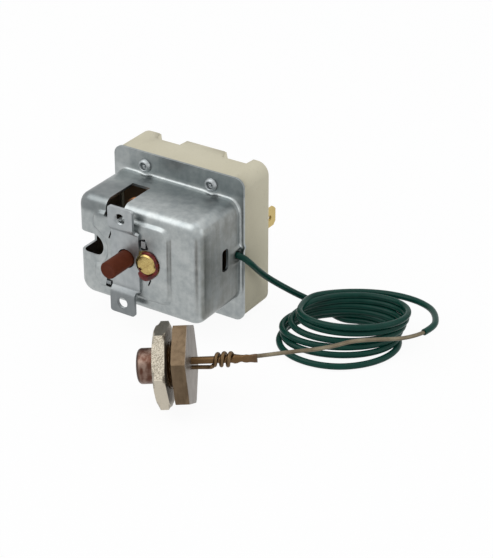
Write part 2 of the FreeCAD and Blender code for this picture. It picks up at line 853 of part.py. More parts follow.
def insulating_plate():
    """Plate between cup and ceramic block, with a hole for each finger."""
    blank = box(
        "plate_blank",
        (f"housing_x - {CHAMBER_WIDE}", f"housing_x + {CHAMBER_WIDE}"),
        (FLANGE_BACK, f"{FLANGE_BACK} + plate_thick"),
        (f"seat_gap - {PLATE_HIGH}", f"{PLATE_HIGH} - seat_gap"),
    )
    windows = [
        box(
            f"{pole}_window",
            ("housing_x - finger_half - seat_gap", "housing_x + finger_half + seat_gap"),
            (FLANGE, f"{FLANGE_BACK} + plate_thick + 1"),
            (f"{place} - finger_half - seat_gap", f"{place} + finger_half + seat_gap"),
        )
        for pole, place in POLES.items()
    ]
    node("insulating_plate", cut("plate_solid", blank, *windows))


def tab_place(pole, side):
    """Offset of a terminal's tab from the housing's centre, and its height."""
    reach = TAB_OUTER if pole == "middle" else "tab_inner"
    lift = "tab_shift" if pole == "middle" else "0"
    return f"(housing_x + {side} * {reach})", f"({POLES[pole]} + {lift})"


def terminals():
    """Six brass terminals: a strip behind the plate, bent into a tab at the back."""
    for pole, place in POLES.items():
        for side, word in ((-1, "left"), (1, "right")):
            tab_x, tab_z = tab_place(pole, side)
            near = f"(housing_x + {side} * (contact_offset - contact_r - 0.4))"
            far = f"({tab_x} + {side} * strip_thick / 2)"
            ends = (far, near) if side < 0 else (near, far)
            strip = box(
                f"{pole}_{word}_strip",
                ends,
                (STRIP, STRIP_BACK),
                (f"{place} - strip_half_wide", f"{place} + strip_half_wide"),
            )
            tab = doc.addObject("PartDesign::Body", f"{pole}_{word}_tab")
            blade = sketch_on(tab, f"{pole}_{word}_blade", "YZ_Plane", f"{tab_x} - strip_thick / 2")
            tip = f"({CERAMIC_BACK} + tab_proud)"
            outline(blade, [
                (STRIP, f"{tab_z} - tab_half_wide"),
                (f"{tip} - tab_tip", f"{tab_z} - tab_half_wide"),
                (tip, f"{tab_z} - tab_half_wide + tab_tip"),
                (tip, f"{tab_z} + tab_half_wide - tab_tip"),
                (f"{tip} - tab_tip", f"{tab_z} + tab_half_wide"),
                (STRIP, f"{tab_z} + tab_half_wide"),
            ])
            pad(tab, f"{pole}_{word}_thickness", blade, "strip_thick", backwards=False)
            hole = rod(
                f"{pole}_{word}_hole",
                "tab_hole",
                (f"{tab_x} - strip_thick", f"{tip} - tab_hole_back", tab_z),
                "2 * strip_thick",
                "x",
            )
            node(f"terminal_{pole}_{word}", cut(f"{pole}_{word}_solid", fuse(f"{pole}_{word}_blank", strip, tab), hole))


def fixed_contacts():
    """Silver contacts on the inner ends of the terminals."""
    contacts = [
        rod(
            f"{pole}_fixed_{side + 1}",
            "contact_r",
            (f"housing_x + {side} * contact_offset", STRIP_BACK, place),
            "contact_high",
            "y",
        )
        for pole, place in POLES.items()
        for side in (-1, 1)
    ]
    node("fixed_contacts", fuse("fixed_contact_set", *contacts))


def ceramic_base():
    """Ceramic block: contact chamber in front, terminal chambers and rim notches behind."""
    body = doc.addObject("PartDesign::Body", "ceramic_block")
    front = sketch_on(body, "ceramic_outline", "XZ_Plane", f"0 - {FLANGE_BACK}")
    rectangle(front, f"housing_x - {FLANGE_WIDE}", f"housing_x + {FLANGE_WIDE}", GROUND, FLANGE_HIGH)
    pad(body, "ceramic_depth", front, "ceramic_deep")
    round_edges(body, "ceramic_corners", "ceramic_corner", lambda edge: runs_along(edge, "y"))
    back = value(CERAMIC_BACK)
    round_edges(body, "ceramic_rim_round", "ceramic_rim", lambda edge: lies_at_y(edge, back))
    across = (f"housing_x - {CHAMBER_WIDE}", f"housing_x + {CHAMBER_WIDE}")
    openings = [
        box(
            "plate_seat",
            (f"housing_x - {PLATE_WIDE}", f"housing_x + {PLATE_WIDE}"),
            (FLANGE, f"{FLANGE_BACK} + plate_thick"),
            (f"0 - {PLATE_HIGH}", PLATE_HIGH),
        ),
    ]
    middle_ribs = ["0 - pole_pitch / 2", "pole_pitch / 2"]
    edges = [f"0 - {CHAMBER_HIGH}"]
    for rib in middle_ribs:
        edges += [f"{rib} - rib_thick / 2", f"{rib} + rib_thick / 2"]
    edges.append(CHAMBER_HIGH)
    ledges = []
    for number, pole in enumerate(("bottom", "middle", "top")):
        room = (edges[2 * number], edges[2 * number + 1])
        chamber = box(f"{pole}_chamber", across, (FLANGE_BACK, FLOOR), room)
        for side in (-1, 1):
            tab_x, tab_z = tab_place(pole, side)
            ledges.append(box(
                f"{pole}_ledge_{side + 1}",
                (f"{tab_x} - ledge_half", f"{tab_x} + ledge_half"),
                (STRIP_BACK, f"{FLOOR} + seat_gap"),
                room,
            ))
        openings.append(cut(f"{pole}_chamber_clear", chamber, *ledges[-2:]))
        for side in (-1, 1):
            tab_x, tab_z = tab_place(pole, side)
            openings.append(box(
                f"{pole}_tab_slot_{side + 1}",
                (f"{tab_x} - strip_thick / 2 - seat_gap", f"{tab_x} + strip_thick / 2 + seat_gap"),
                (FLANGE_BACK, f"{CERAMIC_BACK} + 1"),
                (f"{tab_z} - tab_half_wide - seat_gap", f"{tab_z} + tab_half_wide + seat_gap"),
            ))
            openings.append(box(
                f"{pole}_rear_room_{side + 1}",
                (f"{tab_x} - rear_room", f"{tab_x} + rear_room"),
                (f"{CERAMIC_BACK} - rear_recess", f"{CERAMIC_BACK} + 1"),
                (f"{tab_z} - tab_half_wide - rear_margin", f"{tab_z} + tab_half_wide + rear_margin"),
            ))
    for side in (-1, 1):
        for rise in (-1, 1):
            rivet_x = f"housing_x + {side} * rivet_x"
            openings.append(rod(
                f"rivet_bore_{side + 1}_{rise + 1}",
                "rivet_r",
                (rivet_x, FLANGE, f"{rise} * {RIVET_Z}"),
                "ceramic_deep + 2",
                "y",
            ))
            openings.append(rim_notch(f"rim_notch_{side + 1}_{rise + 1}", side, rise))
    node("ceramic_base", cut("ceramic_solid", body, *openings))


def rim_notch(name, side, rise):
    """Notch in the block's rear rim at a rivet: sloping on its left, steep on its right."""
    body = doc.addObject("PartDesign::Body", name)
    low = f"{RIVET_Z} - rivet_head_r - 0.6" if rise > 0 else f"{GROUND} - 1"
    plan = sketch_on(body, name + "_plan", "XY_Plane", low)
    start = f"(housing_x + {side} * rivet_x)"
    floor = f"({CERAMIC_BACK} - rim_notch_deep)"
    rim = f"({CERAMIC_BACK} + 1)"
    outline(plan, [
        (f"{start} - 5.6", rim),
        (f"{start} - 4.5", CERAMIC_BACK),
        (f"{start} - 2.9", floor),
        (f"{start} + 5.7", floor),
        (f"{start} + 6.1", CERAMIC_BACK),
        (f"{start} + 6.1", rim),
    ])
    pad(body, name + "_depth", plan, "flange_edge + rivet_head_r + 1.6", backwards=False)
    return body


def cover_rivets():
    """Four rivets from the flange to the rim notches."""
    rivets = []
    long = "(ceramic_deep + sheet_thick - rim_notch_deep)"
    for side in (-1, 1):
        for rise in (-1, 1):
            profile = [
                ("0 - rivet_head", "0"),
                ("0 - rivet_head", "rivet_head_r * 0.5"),
                ("0 - rivet_head * 0.3", "rivet_head_r"),
                ("0", "rivet_head_r"),
                ("0", "rivet_r"),
                (long, "rivet_r"),
                (long, "rivet_head_r"),
                (f"{long} + 0.7", "rivet_head_r * 0.8"),
                (f"{long} + 0.7", "0"),
            ]
            start = (f"housing_x + {side} * rivet_x", FLANGE, f"{rise} * {RIVET_Z}")
            rivets.append(turned(f"rivet_{side + 1}_{rise + 1}", profile, start))
    node("cover_rivets", fuse("rivet_set", *rivets))


def gland_frame():
    """Placement of the gland: +X along its axis from the nut to the filler tube."""
    corner = value("gland_across") / 2 / math.cos(math.radians(30))
    rise = value("gland_rise")
    height = value(GROUND) + corner * math.cos(math.radians(rise))
    turn = Rotation(Vector(0, 0, 1), value("gland_yaw")).multiply(Rotation(Vector(0, 1, 0), -rise))
    return Placement(Vector(value("gland_x"), value("gland_y"), height), turn)


def on_gland(thing, turn=0, lift="0"):
    """Move a piece from its own axes onto the gland's, turned about them."""
    for axis in "xyz":
        thing.setExpression(f"Placement.Base.{axis}", None)
    about = Placement(point("0", "0", lift), Rotation(Vector(1, 0, 0), turn))
    thing.Placement = gland_frame().multiply(about).multiply(thing.Placement)
    return thing


def hexagon(name, start, long, chamfer):
    """Hexagon prism along X with its corners turned off at the left face."""
    prism = doc.addObject("Part::Prism", name + "_prism")
    prism.Polygon = 6
    tie(prism, "Circumradius", "gland_across / 2 / cos(30)")
    tie(prism, "Height", long)
    settle(prism, TURN_FROM_Z["x"], (start, "0", "0"))
    corner = "(gland_across / 2 / cos(30) + 0.1)"
    turning = turned(name + "_turning", [
        (start, "0"),
        (start, f"gland_across / 2 - {chamfer} / 4"),
        (f"{start} + {chamfer}", corner),
        (f"{start} + {long}", corner),
        (f"{start} + {long}", "0"),
    ], ("0", "0", "0"), "x")
    kept = doc.addObject("Part::MultiCommon", name)
    kept.Shapes = [prism, turning]
    return kept


def gland_body():
    """Turned body: closed cup, thread and hexagon."""
    thread_end = "(0 - gland_thread_long)"
    cup_end = "(0 - gland_thread_long - gland_cup_long)"
    barrel = turned("gland_barrel", [
        (cup_end, "0"),
        (cup_end, "gland_cup_r - 0.9"),
        (f"{cup_end} + 0.25", "gland_cup_r - 0.3"),
        (f"{cup_end} + 0.9", "gland_cup_r"),
        (thread_end, "gland_cup_r"),
        (thread_end, "gland_thread_r - 0.6"),
        (f"{thread_end} + 0.6", "gland_thread_r"),
        ("1", "gland_thread_r"),
        ("1", "0"),
    ], ("0", "0", "0"), "x")
    flange = hexagon("gland_hexagon", "0", "gland_hex_long", "0.1")
    node("gland_body", on_gland(fuse("gland_body_solid", barrel, flange)))


def gland_nut():
    """Thin hexagon nut, loose on the thread."""
    left = "(0 - nut_from_seat - nut_thick)"
    blank = hexagon("nut_hexagon", left, "nut_thick", "1.1")
    bore = rod("nut_bore", "gland_thread_r + running", (f"{left} - 1", "0", "0"), "nut_thick + 2", "x")
    node("gland_nut", on_gland(cut("nut_solid", blank, bore), value("nut_turn")))


def filler_tube():
    """Filling tube, pinched flat and closed at its end."""
    tube = rod("filler_round", "filler_r", ("gland_hex_long", "0", "0"), "filler_long - pinch_long", "x")
    body = doc.addObject("PartDesign::Body", "filler_pinch")
    sections = []
    for name, back, thick, high in (
        ("round", "pinch_long", "filler_r", "filler_r"),
        ("flat", "pinch_long * 0.6", "pinch_half_thick", "pinch_half_high"),
        ("end", "0", "pinch_half_thick", "pinch_half_high"),
    ):
        section = sketch_on(body, f"pinch_{name}", "YZ_Plane", f"gland_hex_long + filler_long - {back}")
        quarter = [(thick, f"{high} * 0.41"), (f"{thick} * 0.41", high)]
        upper = quarter + [(f"0 - {across}", up) for across, up in reversed(quarter)]
        outline(section, upper + [(across, f"0 - {up}") for across, up in reversed(upper)])
        sections.append(section)
    pinch = body.newObject("PartDesign::AdditiveLoft", "pinch_loft")
    pinch.Profile = sections[0]
    pinch.Sections = sections[1:]
    pinch.Ruled = True
    node("filler_tube", on_gland(fuse("filler_solid", tube, body), lift="filler_lift"))


def capillary_winding():
    """Outer shape of the capillary's turns round the filler tube."""
    start = "(gland_hex_long + winding_start)"
    profile = [
        (start, "filler_r"),
        (start, "filler_r + 2 * capillary_r"),
        (f"{start} + winding_long", "filler_r + 2 * capillary_r"),
        (f"{start} + winding_long", "filler_r"),
    ]
    node("capillary_winding", on_gland(turned("winding_ring", profile, ("0", "0", "0"), "x"), lift="filler_lift"))


def capillary_stub():
    """Straight stretch of the capillary between the hexagon and its turns."""
    stub = rod("stub_solid", "capillary_r", ("gland_hex_long", "0", "0"), "winding_start", "x")
    stub.Placement.Base = point("gland_hex_long", "0", "0")
    node("capillary_stub", on_gland(stub, lift="filler_lift - filler_r - capillary_r"))


def tube(name, route, radius):
    """Tube along straight runs joined by arcs as large as the runs allow."""
    edges = []
    last = route[0]
    length = 0
    for before, here, after in zip(route, route[1:], route[2:]):
        inward = (before - here).normalize()
        outward = (after - here).normalize()
        half_turn = (math.pi - inward.getAngle(outward)) / 2
        set_back = 0.45 * min((before - here).Length, (after - here).Length)
        bend = set_back / math.tan(half_turn)
        print(name, "bend radius", round(bend, 1))
        start = here + inward * set_back
        end = here + outward * set_back
        toward = (inward + outward).normalize()
        middle = here + toward * (bend / math.cos(half_turn) - bend)
        edges.append(Part.LineSegment(last, start).toShape())
        edges.append(Part.Arc(start, middle, end).toShape())
        length += (start - last).Length + 2 * half_turn * bend
        last = end
    edges.append(Part.LineSegment(last, route[-1]).toShape())
    length += (route[-1] - last).Length
    path = Part.Wire(edges)
    ring = Part.Wire(Part.Circle(route[0], route[1] - route[0], radius).toShape())
    solid = path.makePipeShell([ring], True, False)
    expected = math.pi * radius ** 2 * length
    print(name, "length", round(length, 1), "volume share", round(solid.Volume / expected, 4))
    piece = doc.addObject("Part::Feature", name + "_solid")
    piece.Shape = solid
    return piece


def inner_capillary():
    """Capillary inside the cup, from the capsule's rim round the top to the exit."""
    rim = "screw_x + capsule_r"
    level = "capsule_front + capsule_thick / 2"
    high = f"{COVER_HIGH} - sheet_thick - capillary_r - 0.9"
    route = [
        point(f"{rim} + 0.3", level, "screw_z"),
        point(f"{rim} + 3.4", f"{level} - 0.1", "screw_z + 0.9"),
        point(f"{rim} + 3.9", f"{level} - 0.3", "screw_z + 6"),
        point(f"{rim} + 0.4", f"{level} - 0.6", f"{high} - 2.2"),
        point("screw_x + 2", f"{level} - 1.0", f"{high} - 0.2"),
        point("screw_x - 6", f"{level} - 1.2", f"{high}"),
        point("screw_x - 11.6", f"{level} - 0.4", f"{high} - 0.5"),
        point("screw_x - 13.6", f"{level} + 3.2", f"{high} - 0.9"),
        point("screw_x - 10.6", f"{level} + 6.4", f"{high} - 0.8"),
        point("screw_x - 3", f"{level} + 6.9", f"{high} - 0.6"),
        point("screw_x + 6", f"{level} + 7.2", f"{high} - 0.8"),
        point("screw_x + 10.6", f"{level} + 9.2", f"{high} - 4"),
        point("screw_x + 10.4", f"{level} + 11.1", "4.6"),
        point("screw_x + 11.8", f"{level} + 12.3", "1.1"),
        point(*EXIT) - EXIT_RUN,
        point(*EXIT),
    ]
    node("inner_capillary", tube("inner_capillary", route, value("capillary_r")))


EXIT_Y = f"({FLANGE} - 1.5 * sleeve_r)"
EXIT_Z = "(0 - capillary_r / 2)"
EXIT = ("housing_x + cover_half_wide - sheet_thick", EXIT_Y, EXIT_Z)
EXIT_RUN = Vector(2.7, 0.2, -0.35)
TAIL_END = Vector(84.8, 31.7, -12.6)
TAIL_RUN = Vector(-1.2, -5.2, 0.4)


def cords():
    """Sleeve and bare capillary outside the housing."""
    start = point(*EXIT)
    lead = [
        start,
        start + EXIT_RUN,
        Vector(29.6, 25.0, -2.9),
        Vector(30.2, 28.6, -6.7),
        Vector(31.7, 32.3, -10.5),
        Vector(34.8, 35.8, -14.0),
        Vector(38.6, 38.8, -17.2),
        Vector(44.0, 42.4, -20.0),
    ]
    node("sleeve_lead", tube("sleeve_lead", lead, value("sleeve_r")))
    tail = [
        Vector(50.5, 45.0, -17.8),
        Vector(57.5, 48.6, -15.6),
        Vector(66.5, 49.8, -14.4),
        Vector(75.6, 48.2, -13.6),
        Vector(82.2, 43.0, -13.1),
        TAIL_END - TAIL_RUN,
        TAIL_END,
    ]
    node("sleeve_tail", tube("sleeve_tail", tail, value("sleeve_r")))
    side = value("filler_r + capillary_r")
    winding_end = value("gland_hex_long + winding_start + winding_long")
    tube_end = value("gland_hex_long + filler_long")
    lift = value("filler_lift")
    local = gland_frame()
    free = [
        local.multVec(Vector(winding_end, side, lift)),
        local.multVec(Vector(tube_end, side + 0.1, lift + 0.2)),
        Vector(61.6, -4.6, -8.5),
        Vector(66.2, 1.5, -9.3),
        Vector(69.6, 7.2, -9.8),
        Vector(71.6, 12.0, -10.1),
        Vector(75.9, 17.1, -10.6),
        TAIL_END + TAIL_RUN * 1.2,
        TAIL_END,
    ]
    node("bare_capillary", tube("bare_capillary", free, value("capillary_r")))


def sleeve_coil():
    """Outer shape of the loose coil: a ring, higher in front than behind."""
    profile = [
        ("0", "coil_inner"),
        ("0", "coil_outer"),
        ("coil_front_high", "coil_outer"),
        ("coil_front_high", "coil_inner"),
    ]
    ring = turned("coil_ring", profile, ("coil_x", "coil_y", GROUND), "z")
    above = doc.addObject("Part::Box", "coil_slope")
    tie(above, "Length", "6 * coil_outer")
    tie(above, "Width", "6 * coil_outer")
    tie(above, "Height", "4 * coil_front_high")
    slope = math.degrees(math.atan2(value("coil_front_high - coil_back_high"), value("2 * coil_outer")))
    turn = Rotation(Vector(0, 0, 1), value("coil_lean")).multiply(Rotation(Vector(1, 0, 0), -slope))
    middle = point("coil_x", "coil_y", f"{GROUND} + (coil_front_high + coil_back_high) / 2")
    corner = middle - turn.multVec(Vector(value("3 * coil_outer"), value("3 * coil_outer"), 0))
    above.Placement = Placement(corner, turn)
    node("sleeve_coil", cut("coil_solid", ring, above))


front_cover()
mounting_bracket()
inner_frame()
reset_button()
reset_pusher()
adjusting_screw()
screw_bush()
lacquer_seal()
diaphragm_capsule()
thrust_pin()
trip_rocker()
rocker_pin()
latch_spring()
contact_carrier()
bridges()
contact_springs()
insulating_plate()
terminals()
fixed_contacts()
ceramic_base()
cover_rivets()
gland_body()
gland_nut()
filler_tube()
capillary_winding()
capillary_stub()
inner_capillary()
cords()
sleeve_coil()
doc.recompute()

for thing in doc.Objects:
    troubles = {"Invalid", "Error"} & set(thing.State)
    if troubles:
        raise RuntimeError(f"{thing.Name} is {troubles}")
for name, thing in NODES.items():
    shape = thing.Shape
    if shape.isNull() or not shape.isValid() or not shape.Solids:
        raise RuntimeError(f"{name} has no valid solid")

os.makedirs("parts", exist_ok=True)
for name, thing in NODES.items():
    thing.Shape.exportStep(f"parts/{name}.step")
    print(name, len(thing.Shape.Solids), "solids", round(thing.Shape.Volume, 1))
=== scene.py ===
"""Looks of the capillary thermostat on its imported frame. Sizes are in millimetres, meshes in metres."""
import json
import math

import bmesh
import bpy
import numpy as np
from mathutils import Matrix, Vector


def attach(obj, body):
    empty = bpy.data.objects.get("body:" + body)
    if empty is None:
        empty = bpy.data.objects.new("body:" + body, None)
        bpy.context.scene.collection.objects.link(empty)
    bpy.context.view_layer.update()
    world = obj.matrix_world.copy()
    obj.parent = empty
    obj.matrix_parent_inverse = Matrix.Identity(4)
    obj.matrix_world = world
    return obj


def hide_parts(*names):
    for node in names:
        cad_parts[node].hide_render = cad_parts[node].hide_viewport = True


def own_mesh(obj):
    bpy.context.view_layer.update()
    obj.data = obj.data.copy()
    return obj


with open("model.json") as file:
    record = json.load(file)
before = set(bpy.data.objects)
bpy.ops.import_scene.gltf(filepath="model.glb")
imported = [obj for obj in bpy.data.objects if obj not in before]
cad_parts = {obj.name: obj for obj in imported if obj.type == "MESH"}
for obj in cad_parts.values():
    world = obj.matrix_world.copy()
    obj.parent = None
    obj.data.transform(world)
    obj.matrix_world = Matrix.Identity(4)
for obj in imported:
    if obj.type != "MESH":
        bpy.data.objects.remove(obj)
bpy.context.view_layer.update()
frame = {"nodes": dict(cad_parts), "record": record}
NODES = frame["nodes"]
MM = 0.001
RIGHT, INWARD, UP = np.eye(3)
CORNERS = [(side, rise) for side in (-1, 1) for rise in (-1, 1)]

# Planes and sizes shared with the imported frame
HOUSING_X = 3.8
COVER_FRONT, COVER_HALF_WIDE, COVER_HALF_HIGH = 3.5, 22.2, 16.75
FLANGE_FRONT, FLANGE_HALF_WIDE, FLANGE_HALF_HIGH = 24.5, 23.4, 23.8
FLANGE_CORNER, SHEET_THICK = 3.0, 0.8
CERAMIC_BACK, CERAMIC_EDGE, RIM_FLOOR = 38.7, 23.45, 34.7
GROUND = -23.8
EAR_PITCH, EAR_HOLE = 28.0, 2.0
BUTTON_X, BUTTON_Z, BUTTON_R = 0.8, 0.7, 2.7
SCREW_X, SCREW_Z, SCREW_HEAD_R, SCREW_OPENING_R = 8.0, 0.5, 3.3, 4.4
NOTCH_X, NOTCH_Z, NOTCH_R = -12.5, 0.7, 3.6
RIVET_X, RIVET_Z, RIVET_R = 12.0, 19.5, 1.5
RIVETS = [(HOUSING_X + side * RIVET_X, rise * RIVET_Z) for side, rise in CORNERS]
OPENING_GAP = 0.35
PANEL_RAISE = 1.1
PANEL_FRONT = COVER_FRONT - PANEL_RAISE
BRACKET_THICK = 1.0

# Depth in front of the cover where its cuts and those of the bracket start
CUT_START = -2.0

# Sensor gland: the axis point at the seat of the hexagon, and its axes
GLAND_YAW, GLAND_RISE = math.radians(28.1), math.radians(5.4)
GLAND_APOTHEM = 11.0
GLAND_CORNER = GLAND_APOTHEM / math.cos(math.radians(30))
GLAND_SEAT = np.array([36.6, -23.9, GROUND + GLAND_CORNER * math.cos(GLAND_RISE)])
GLAND_ALONG = np.array([
    math.cos(GLAND_YAW) * math.cos(GLAND_RISE),
    math.sin(GLAND_YAW) * math.cos(GLAND_RISE),
    math.sin(GLAND_RISE),
])
GLAND_ACROSS = np.array([-math.sin(GLAND_YAW), math.cos(GLAND_YAW), 0.0])
GLAND_UP = np.cross(GLAND_ALONG, GLAND_ACROSS)

# Along the gland's axis: where the filling tube starts and ends, and how far it lies above the axis
FILLER_START, FILLER_END, FILLER_LIFT = 3.9, 22.6, 1.2

# Radii of the two cords
SLEEVE_R, CAPILLARY_R = 0.98, 0.6

# Full slide of the contact carrier, and the turn of the loose nut in degrees
CARRIER_TRAVEL, NUT_TURN = 1.17, 18.3

# Camera: the point it aims at, its distance from there in metres, its lens and its two angles
CAMERA_TARGET, CAMERA_DISTANCE, CAMERA_LENS = (34.09, 15.5, -2.72), 0.5794, 127.45
CAMERA_TURN, CAMERA_RISE = math.radians(32.99), math.radians(28.92)
VIEW_RIGHT = np.array([math.cos(CAMERA_TURN), math.sin(CAMERA_TURN)])
VIEW_AWAY = np.array([-math.sin(CAMERA_TURN), math.cos(CAMERA_TURN)])

# Lamps: place and size in metres, power in watts
LAMPS = {
    "key": ((-0.42, -0.55, 0.85), 1.0, 5.6),
    "top": ((0.1, 0.25, 1.0), 0.9, 2.0),
    "side": ((0.95, 0.1, 0.3), 0.8, 2.0),
}
LAMP_TARGET = (0.034, 0.015, 0.0)


def placed(name, data):
    """New object of the scene."""
    made = bpy.data.objects.new(name, data)
    bpy.context.scene.collection.objects.link(made)
    return made


def point_camera():
    """Camera at the photograph's viewing angle, aimed at the middle of the object."""
    back = Vector((
        math.sin(CAMERA_TURN) * math.cos(CAMERA_RISE),
        -math.cos(CAMERA_TURN) * math.cos(CAMERA_RISE),
        math.sin(CAMERA_RISE),
    ))
    lens = bpy.data.cameras.new("camera")
    lens.lens = CAMERA_LENS
    lens.sensor_width = 36
    lens.clip_start = 0.01
    camera = placed("camera", lens)
    camera.location = Vector(CAMERA_TARGET) * MM + back * CAMERA_DISTANCE
    camera.rotation_euler = (-back).to_track_quat("-Z", "Y").to_euler()
    bpy.context.scene.camera = camera


class Value:
    """A number socket that takes part in arithmetic; each operator adds its Math node."""

    def __init__(self, finish, socket):
        self.finish = finish
        self.socket = socket

    def with_other(self, operation, first, second):
        added = self.finish.add("ShaderNodeMath", {"operation": operation}, {0: first, 1: second})
        return Value(self.finish, added.outputs[0])

    def __add__(self, other):
        return self.with_other("ADD", self, other)

    def __sub__(self, other):
        return self.with_other("SUBTRACT", self, other)

    def __mul__(self, other):
        return self.with_other("MULTIPLY", self, other)

    def __rsub__(self, other):
        return self.with_other("SUBTRACT", other, self)

    __radd__ = __add__

    def clear(self, low, high):
        """0 below low, 1 above high and smooth between them."""
        settings = {"interpolation_type": "SMOOTHSTEP"}
        added = self.finish.add("ShaderNodeMapRange", settings, {0: self, 1: low, 2: high})
        return Value(self.finish, added.outputs[0])


class Finish:
    """A material, with one method that adds its nodes."""

    def __init__(self, name, **plain):
        self.material = bpy.data.materials.new(name)
        self.material.use_nodes = True
        self.tree = self.material.node_tree
        self.shader = self.tree.nodes["Principled BSDF"]
        for socket, number in plain.items():
            self.shader.inputs[socket.replace("_", " ")].default_value = number

    def add(self, kind, settings, inputs):
        """Add a node: its settings first, then the values or links of its sockets."""
        added = self.tree.nodes.new(kind)
        for setting, chosen in settings.items():
            setattr(added, setting, chosen)
        for place, given in inputs.items():
            given = given.socket if isinstance(given, Value) else given
            if isinstance(given, bpy.types.NodeSocket):
                self.tree.links.new(given, added.inputs[place])
            else:
                added.inputs[place].default_value = given
        return added

    def places(self, stretch):
        """Object coordinates, stretched."""
        coordinates = self.add("ShaderNodeTexCoord", {}, {})
        mapping = self.add("ShaderNodeMapping", {}, {
            "Vector": coordinates.outputs["Object"], "Scale": stretch,
        })
        return mapping.outputs[0]

    def noise(self, scale, detail=3.0, stretch=(1, 1, 1), roughness=0.55):
        """Cloudy pattern of a number of patches to the metre."""
        added = self.add("ShaderNodeTexNoise", {}, {
            "Vector": self.places(stretch), "Scale": scale, "Detail": detail, "Roughness": roughness,
        })
        return Value(self, added.outputs[0])

    def beyond(self, direction, low, high, origin=(0.0, 0.0, 0.0)):
        """0 up to one distance in millimetres from an origin along a direction, 1 past another."""
        coordinates = self.add("ShaderNodeTexCoord", {}, {})
        moved = self.add("ShaderNodeVectorMath", {"operation": "SUBTRACT"}, {
            0: coordinates.outputs["Object"], 1: tuple(np.array(origin) * MM),
        })
        added = self.add("ShaderNodeVectorMath", {"operation": "DOT_PRODUCT"}, {
            0: moved.outputs[0], 1: tuple(direction),
        })
        return Value(self, added.outputs["Value"]).clear(low * MM, high * MM)

    def mix(self, factor, first, second):
        """Colour between two colours."""
        added = self.add("ShaderNodeMix", {"data_type": "RGBA"}, {0: factor, 6: first, 7: second})
        return added.outputs[2]

    def bump(self, height, depth, strength=1.0):
        """Relief of the surface by a height from 0 to 1 and a depth in millimetres."""
        added = self.add("ShaderNodeBump", {}, {
            "Height": height, "Distance": depth * MM, "Strength": strength,
        })
        self.feed("Normal", added.outputs[0])

    def feed(self, place, given):
        """Link a value or a node's output to a socket of the shader."""
        given = given.socket if isinstance(given, Value) else given
        self.tree.links.new(given, self.shader.inputs[place])


def spokes(angle, across=GLAND_ACROSS, up=GLAND_UP):
    """Directions across an axis, at one angle in radians or an array of them."""
    return np.multiply.outer(np.cos(angle), across) + np.multiply.outer(np.sin(angle), up)


def full_turn(count):
    """Angles of points evenly round a circle."""
    return np.arange(count) / count * 2 * np.pi


def shade(red, green, blue):
    """Colour as a picture shows it, from 0 to 255, turned into light."""
    seen = np.array([red, green, blue]) / 255
    light = np.where(seen <= 0.04045, seen / 12.92, ((seen + 0.055) / 1.055) ** 2.4)
    return (*light.tolist(), 1.0)


def zinc_finish(name, pale, deep, gloss=0.34, tint=None):
    """Zinc plate: clouds, blotches, upright drawing streaks and a fine grain, then, when a tint is given,
    painted shade by place (on the cover with a stain as well).
    """
    finish = Finish(name, Metallic=1.0)
    clouds = finish.noise(120, 5, roughness=0.65)
    blotches = finish.noise(520, 4, roughness=0.6)
    streaks = finish.noise(480, 3, (1, 1, 0.1))
    grain = finish.noise(2200, 2)
    tone = (clouds * 0.35 + blotches * 0.45 + streaks * 0.2).clear(0.32, 0.7)
    colour = finish.mix(tone, deep, pale)
    # painted shade by place, from the tint function
    if tint:
        colour = tint(finish, colour, clouds, streaks)
    finish.feed("Base Color", colour)
    finish.feed("Roughness", gloss - 0.1 + blotches * 0.14 + streaks * 0.12)
    finish.bump(blotches * 0.9 + streaks * 0.4 + grain * 0.2, 0.05, 0.35)
    return finish.material


def lower_ear_painted_shade(finish, colour, clouds, streaks):
    """Painted shade: darker below the panel, where the bracket's lower ear stands."""
    lower = 1 - finish.beyond(UP, -10.2, -7.8)
    return finish.mix(lower * 0.55, colour, shade(84, 88, 90))


def cover_painted_shade_and_stain(finish, colour, clouds, streaks):
    """Cup: painted shade that greys the top more towards the rear and greys the front edge on its left, and a
    right wall with a patchy stain over painted shade that darkens it all.
    """
    right = finish.beyond(RIGHT, -12, 4)
    flange = finish.beyond(INWARD, 22.2, 23.4) * (1 - finish.beyond(UP, 17.2, 18.6))
    rear = finish.beyond(INWARD, 9, 19) * finish.beyond(UP, 14.5, 15.5)
    # painted shade: the top greys towards the rear, but not on the flange's front
    rear_painted_shade = rear * (1 - flange) * (0.14 + right * 0.18 + clouds * 0.22)
    colour = finish.mix(rear_painted_shade, colour, shade(84, 92, 94))
    # painted shade on the front edge left of the top slot
    left = (1 - right.clear(0.1, 0.4)) * finish.beyond(UP, 10.5, 12.5)
    forward = 1 - finish.beyond(INWARD, 12, 18)
    colour = finish.mix(left * forward * 0.6, colour, shade(84, 90, 92))
    # right wall: painted shade all over, with a patchy stain on top of it
    wall = finish.beyond(RIGHT, 24.8, 25.8) - finish.beyond(INWARD, 22.5, 23.8)
    marks = (streaks * 0.35 + clouds * 0.65).clear(0.34, 0.62)
    return finish.mix(wall.clear(0, 1) * (0.28 + marks * 0.45), colour, shade(98, 98, 92))


def ceramic_finish():
    """Pressed ceramic: warm beige, faint clouds and fine pores."""
    finish = Finish("beige_ceramic", Roughness=0.78)
    clouds = finish.noise(70, 4)
    grain = finish.noise(2600, 3)
    pores = grain.clear(0.60, 0.72)
    base = finish.mix(clouds, shade(192, 185, 161), shade(208, 202, 180))
    finish.feed("Base Color", finish.mix(pores * 0.35, base, shade(150, 140, 118)))
    finish.bump(grain * 0.6 + clouds * 0.4, 0.05, 0.4)
    return finish.material


def plastic_finish(name, pale, deep, roughness=0.45, shine=0.3):
    """Moulded plastic with a slight mottle."""
    finish = Finish(name, Specular_IOR_Level=shine)
    clouds = finish.noise(420, 3)
    grain = finish.noise(3200, 2)
    finish.feed("Base Color", finish.mix(clouds, deep, pale))
    finish.feed("Roughness", roughness - 0.06 + clouds * 0.12)
    finish.bump(grain, 0.02, 0.4)
    return finish.material


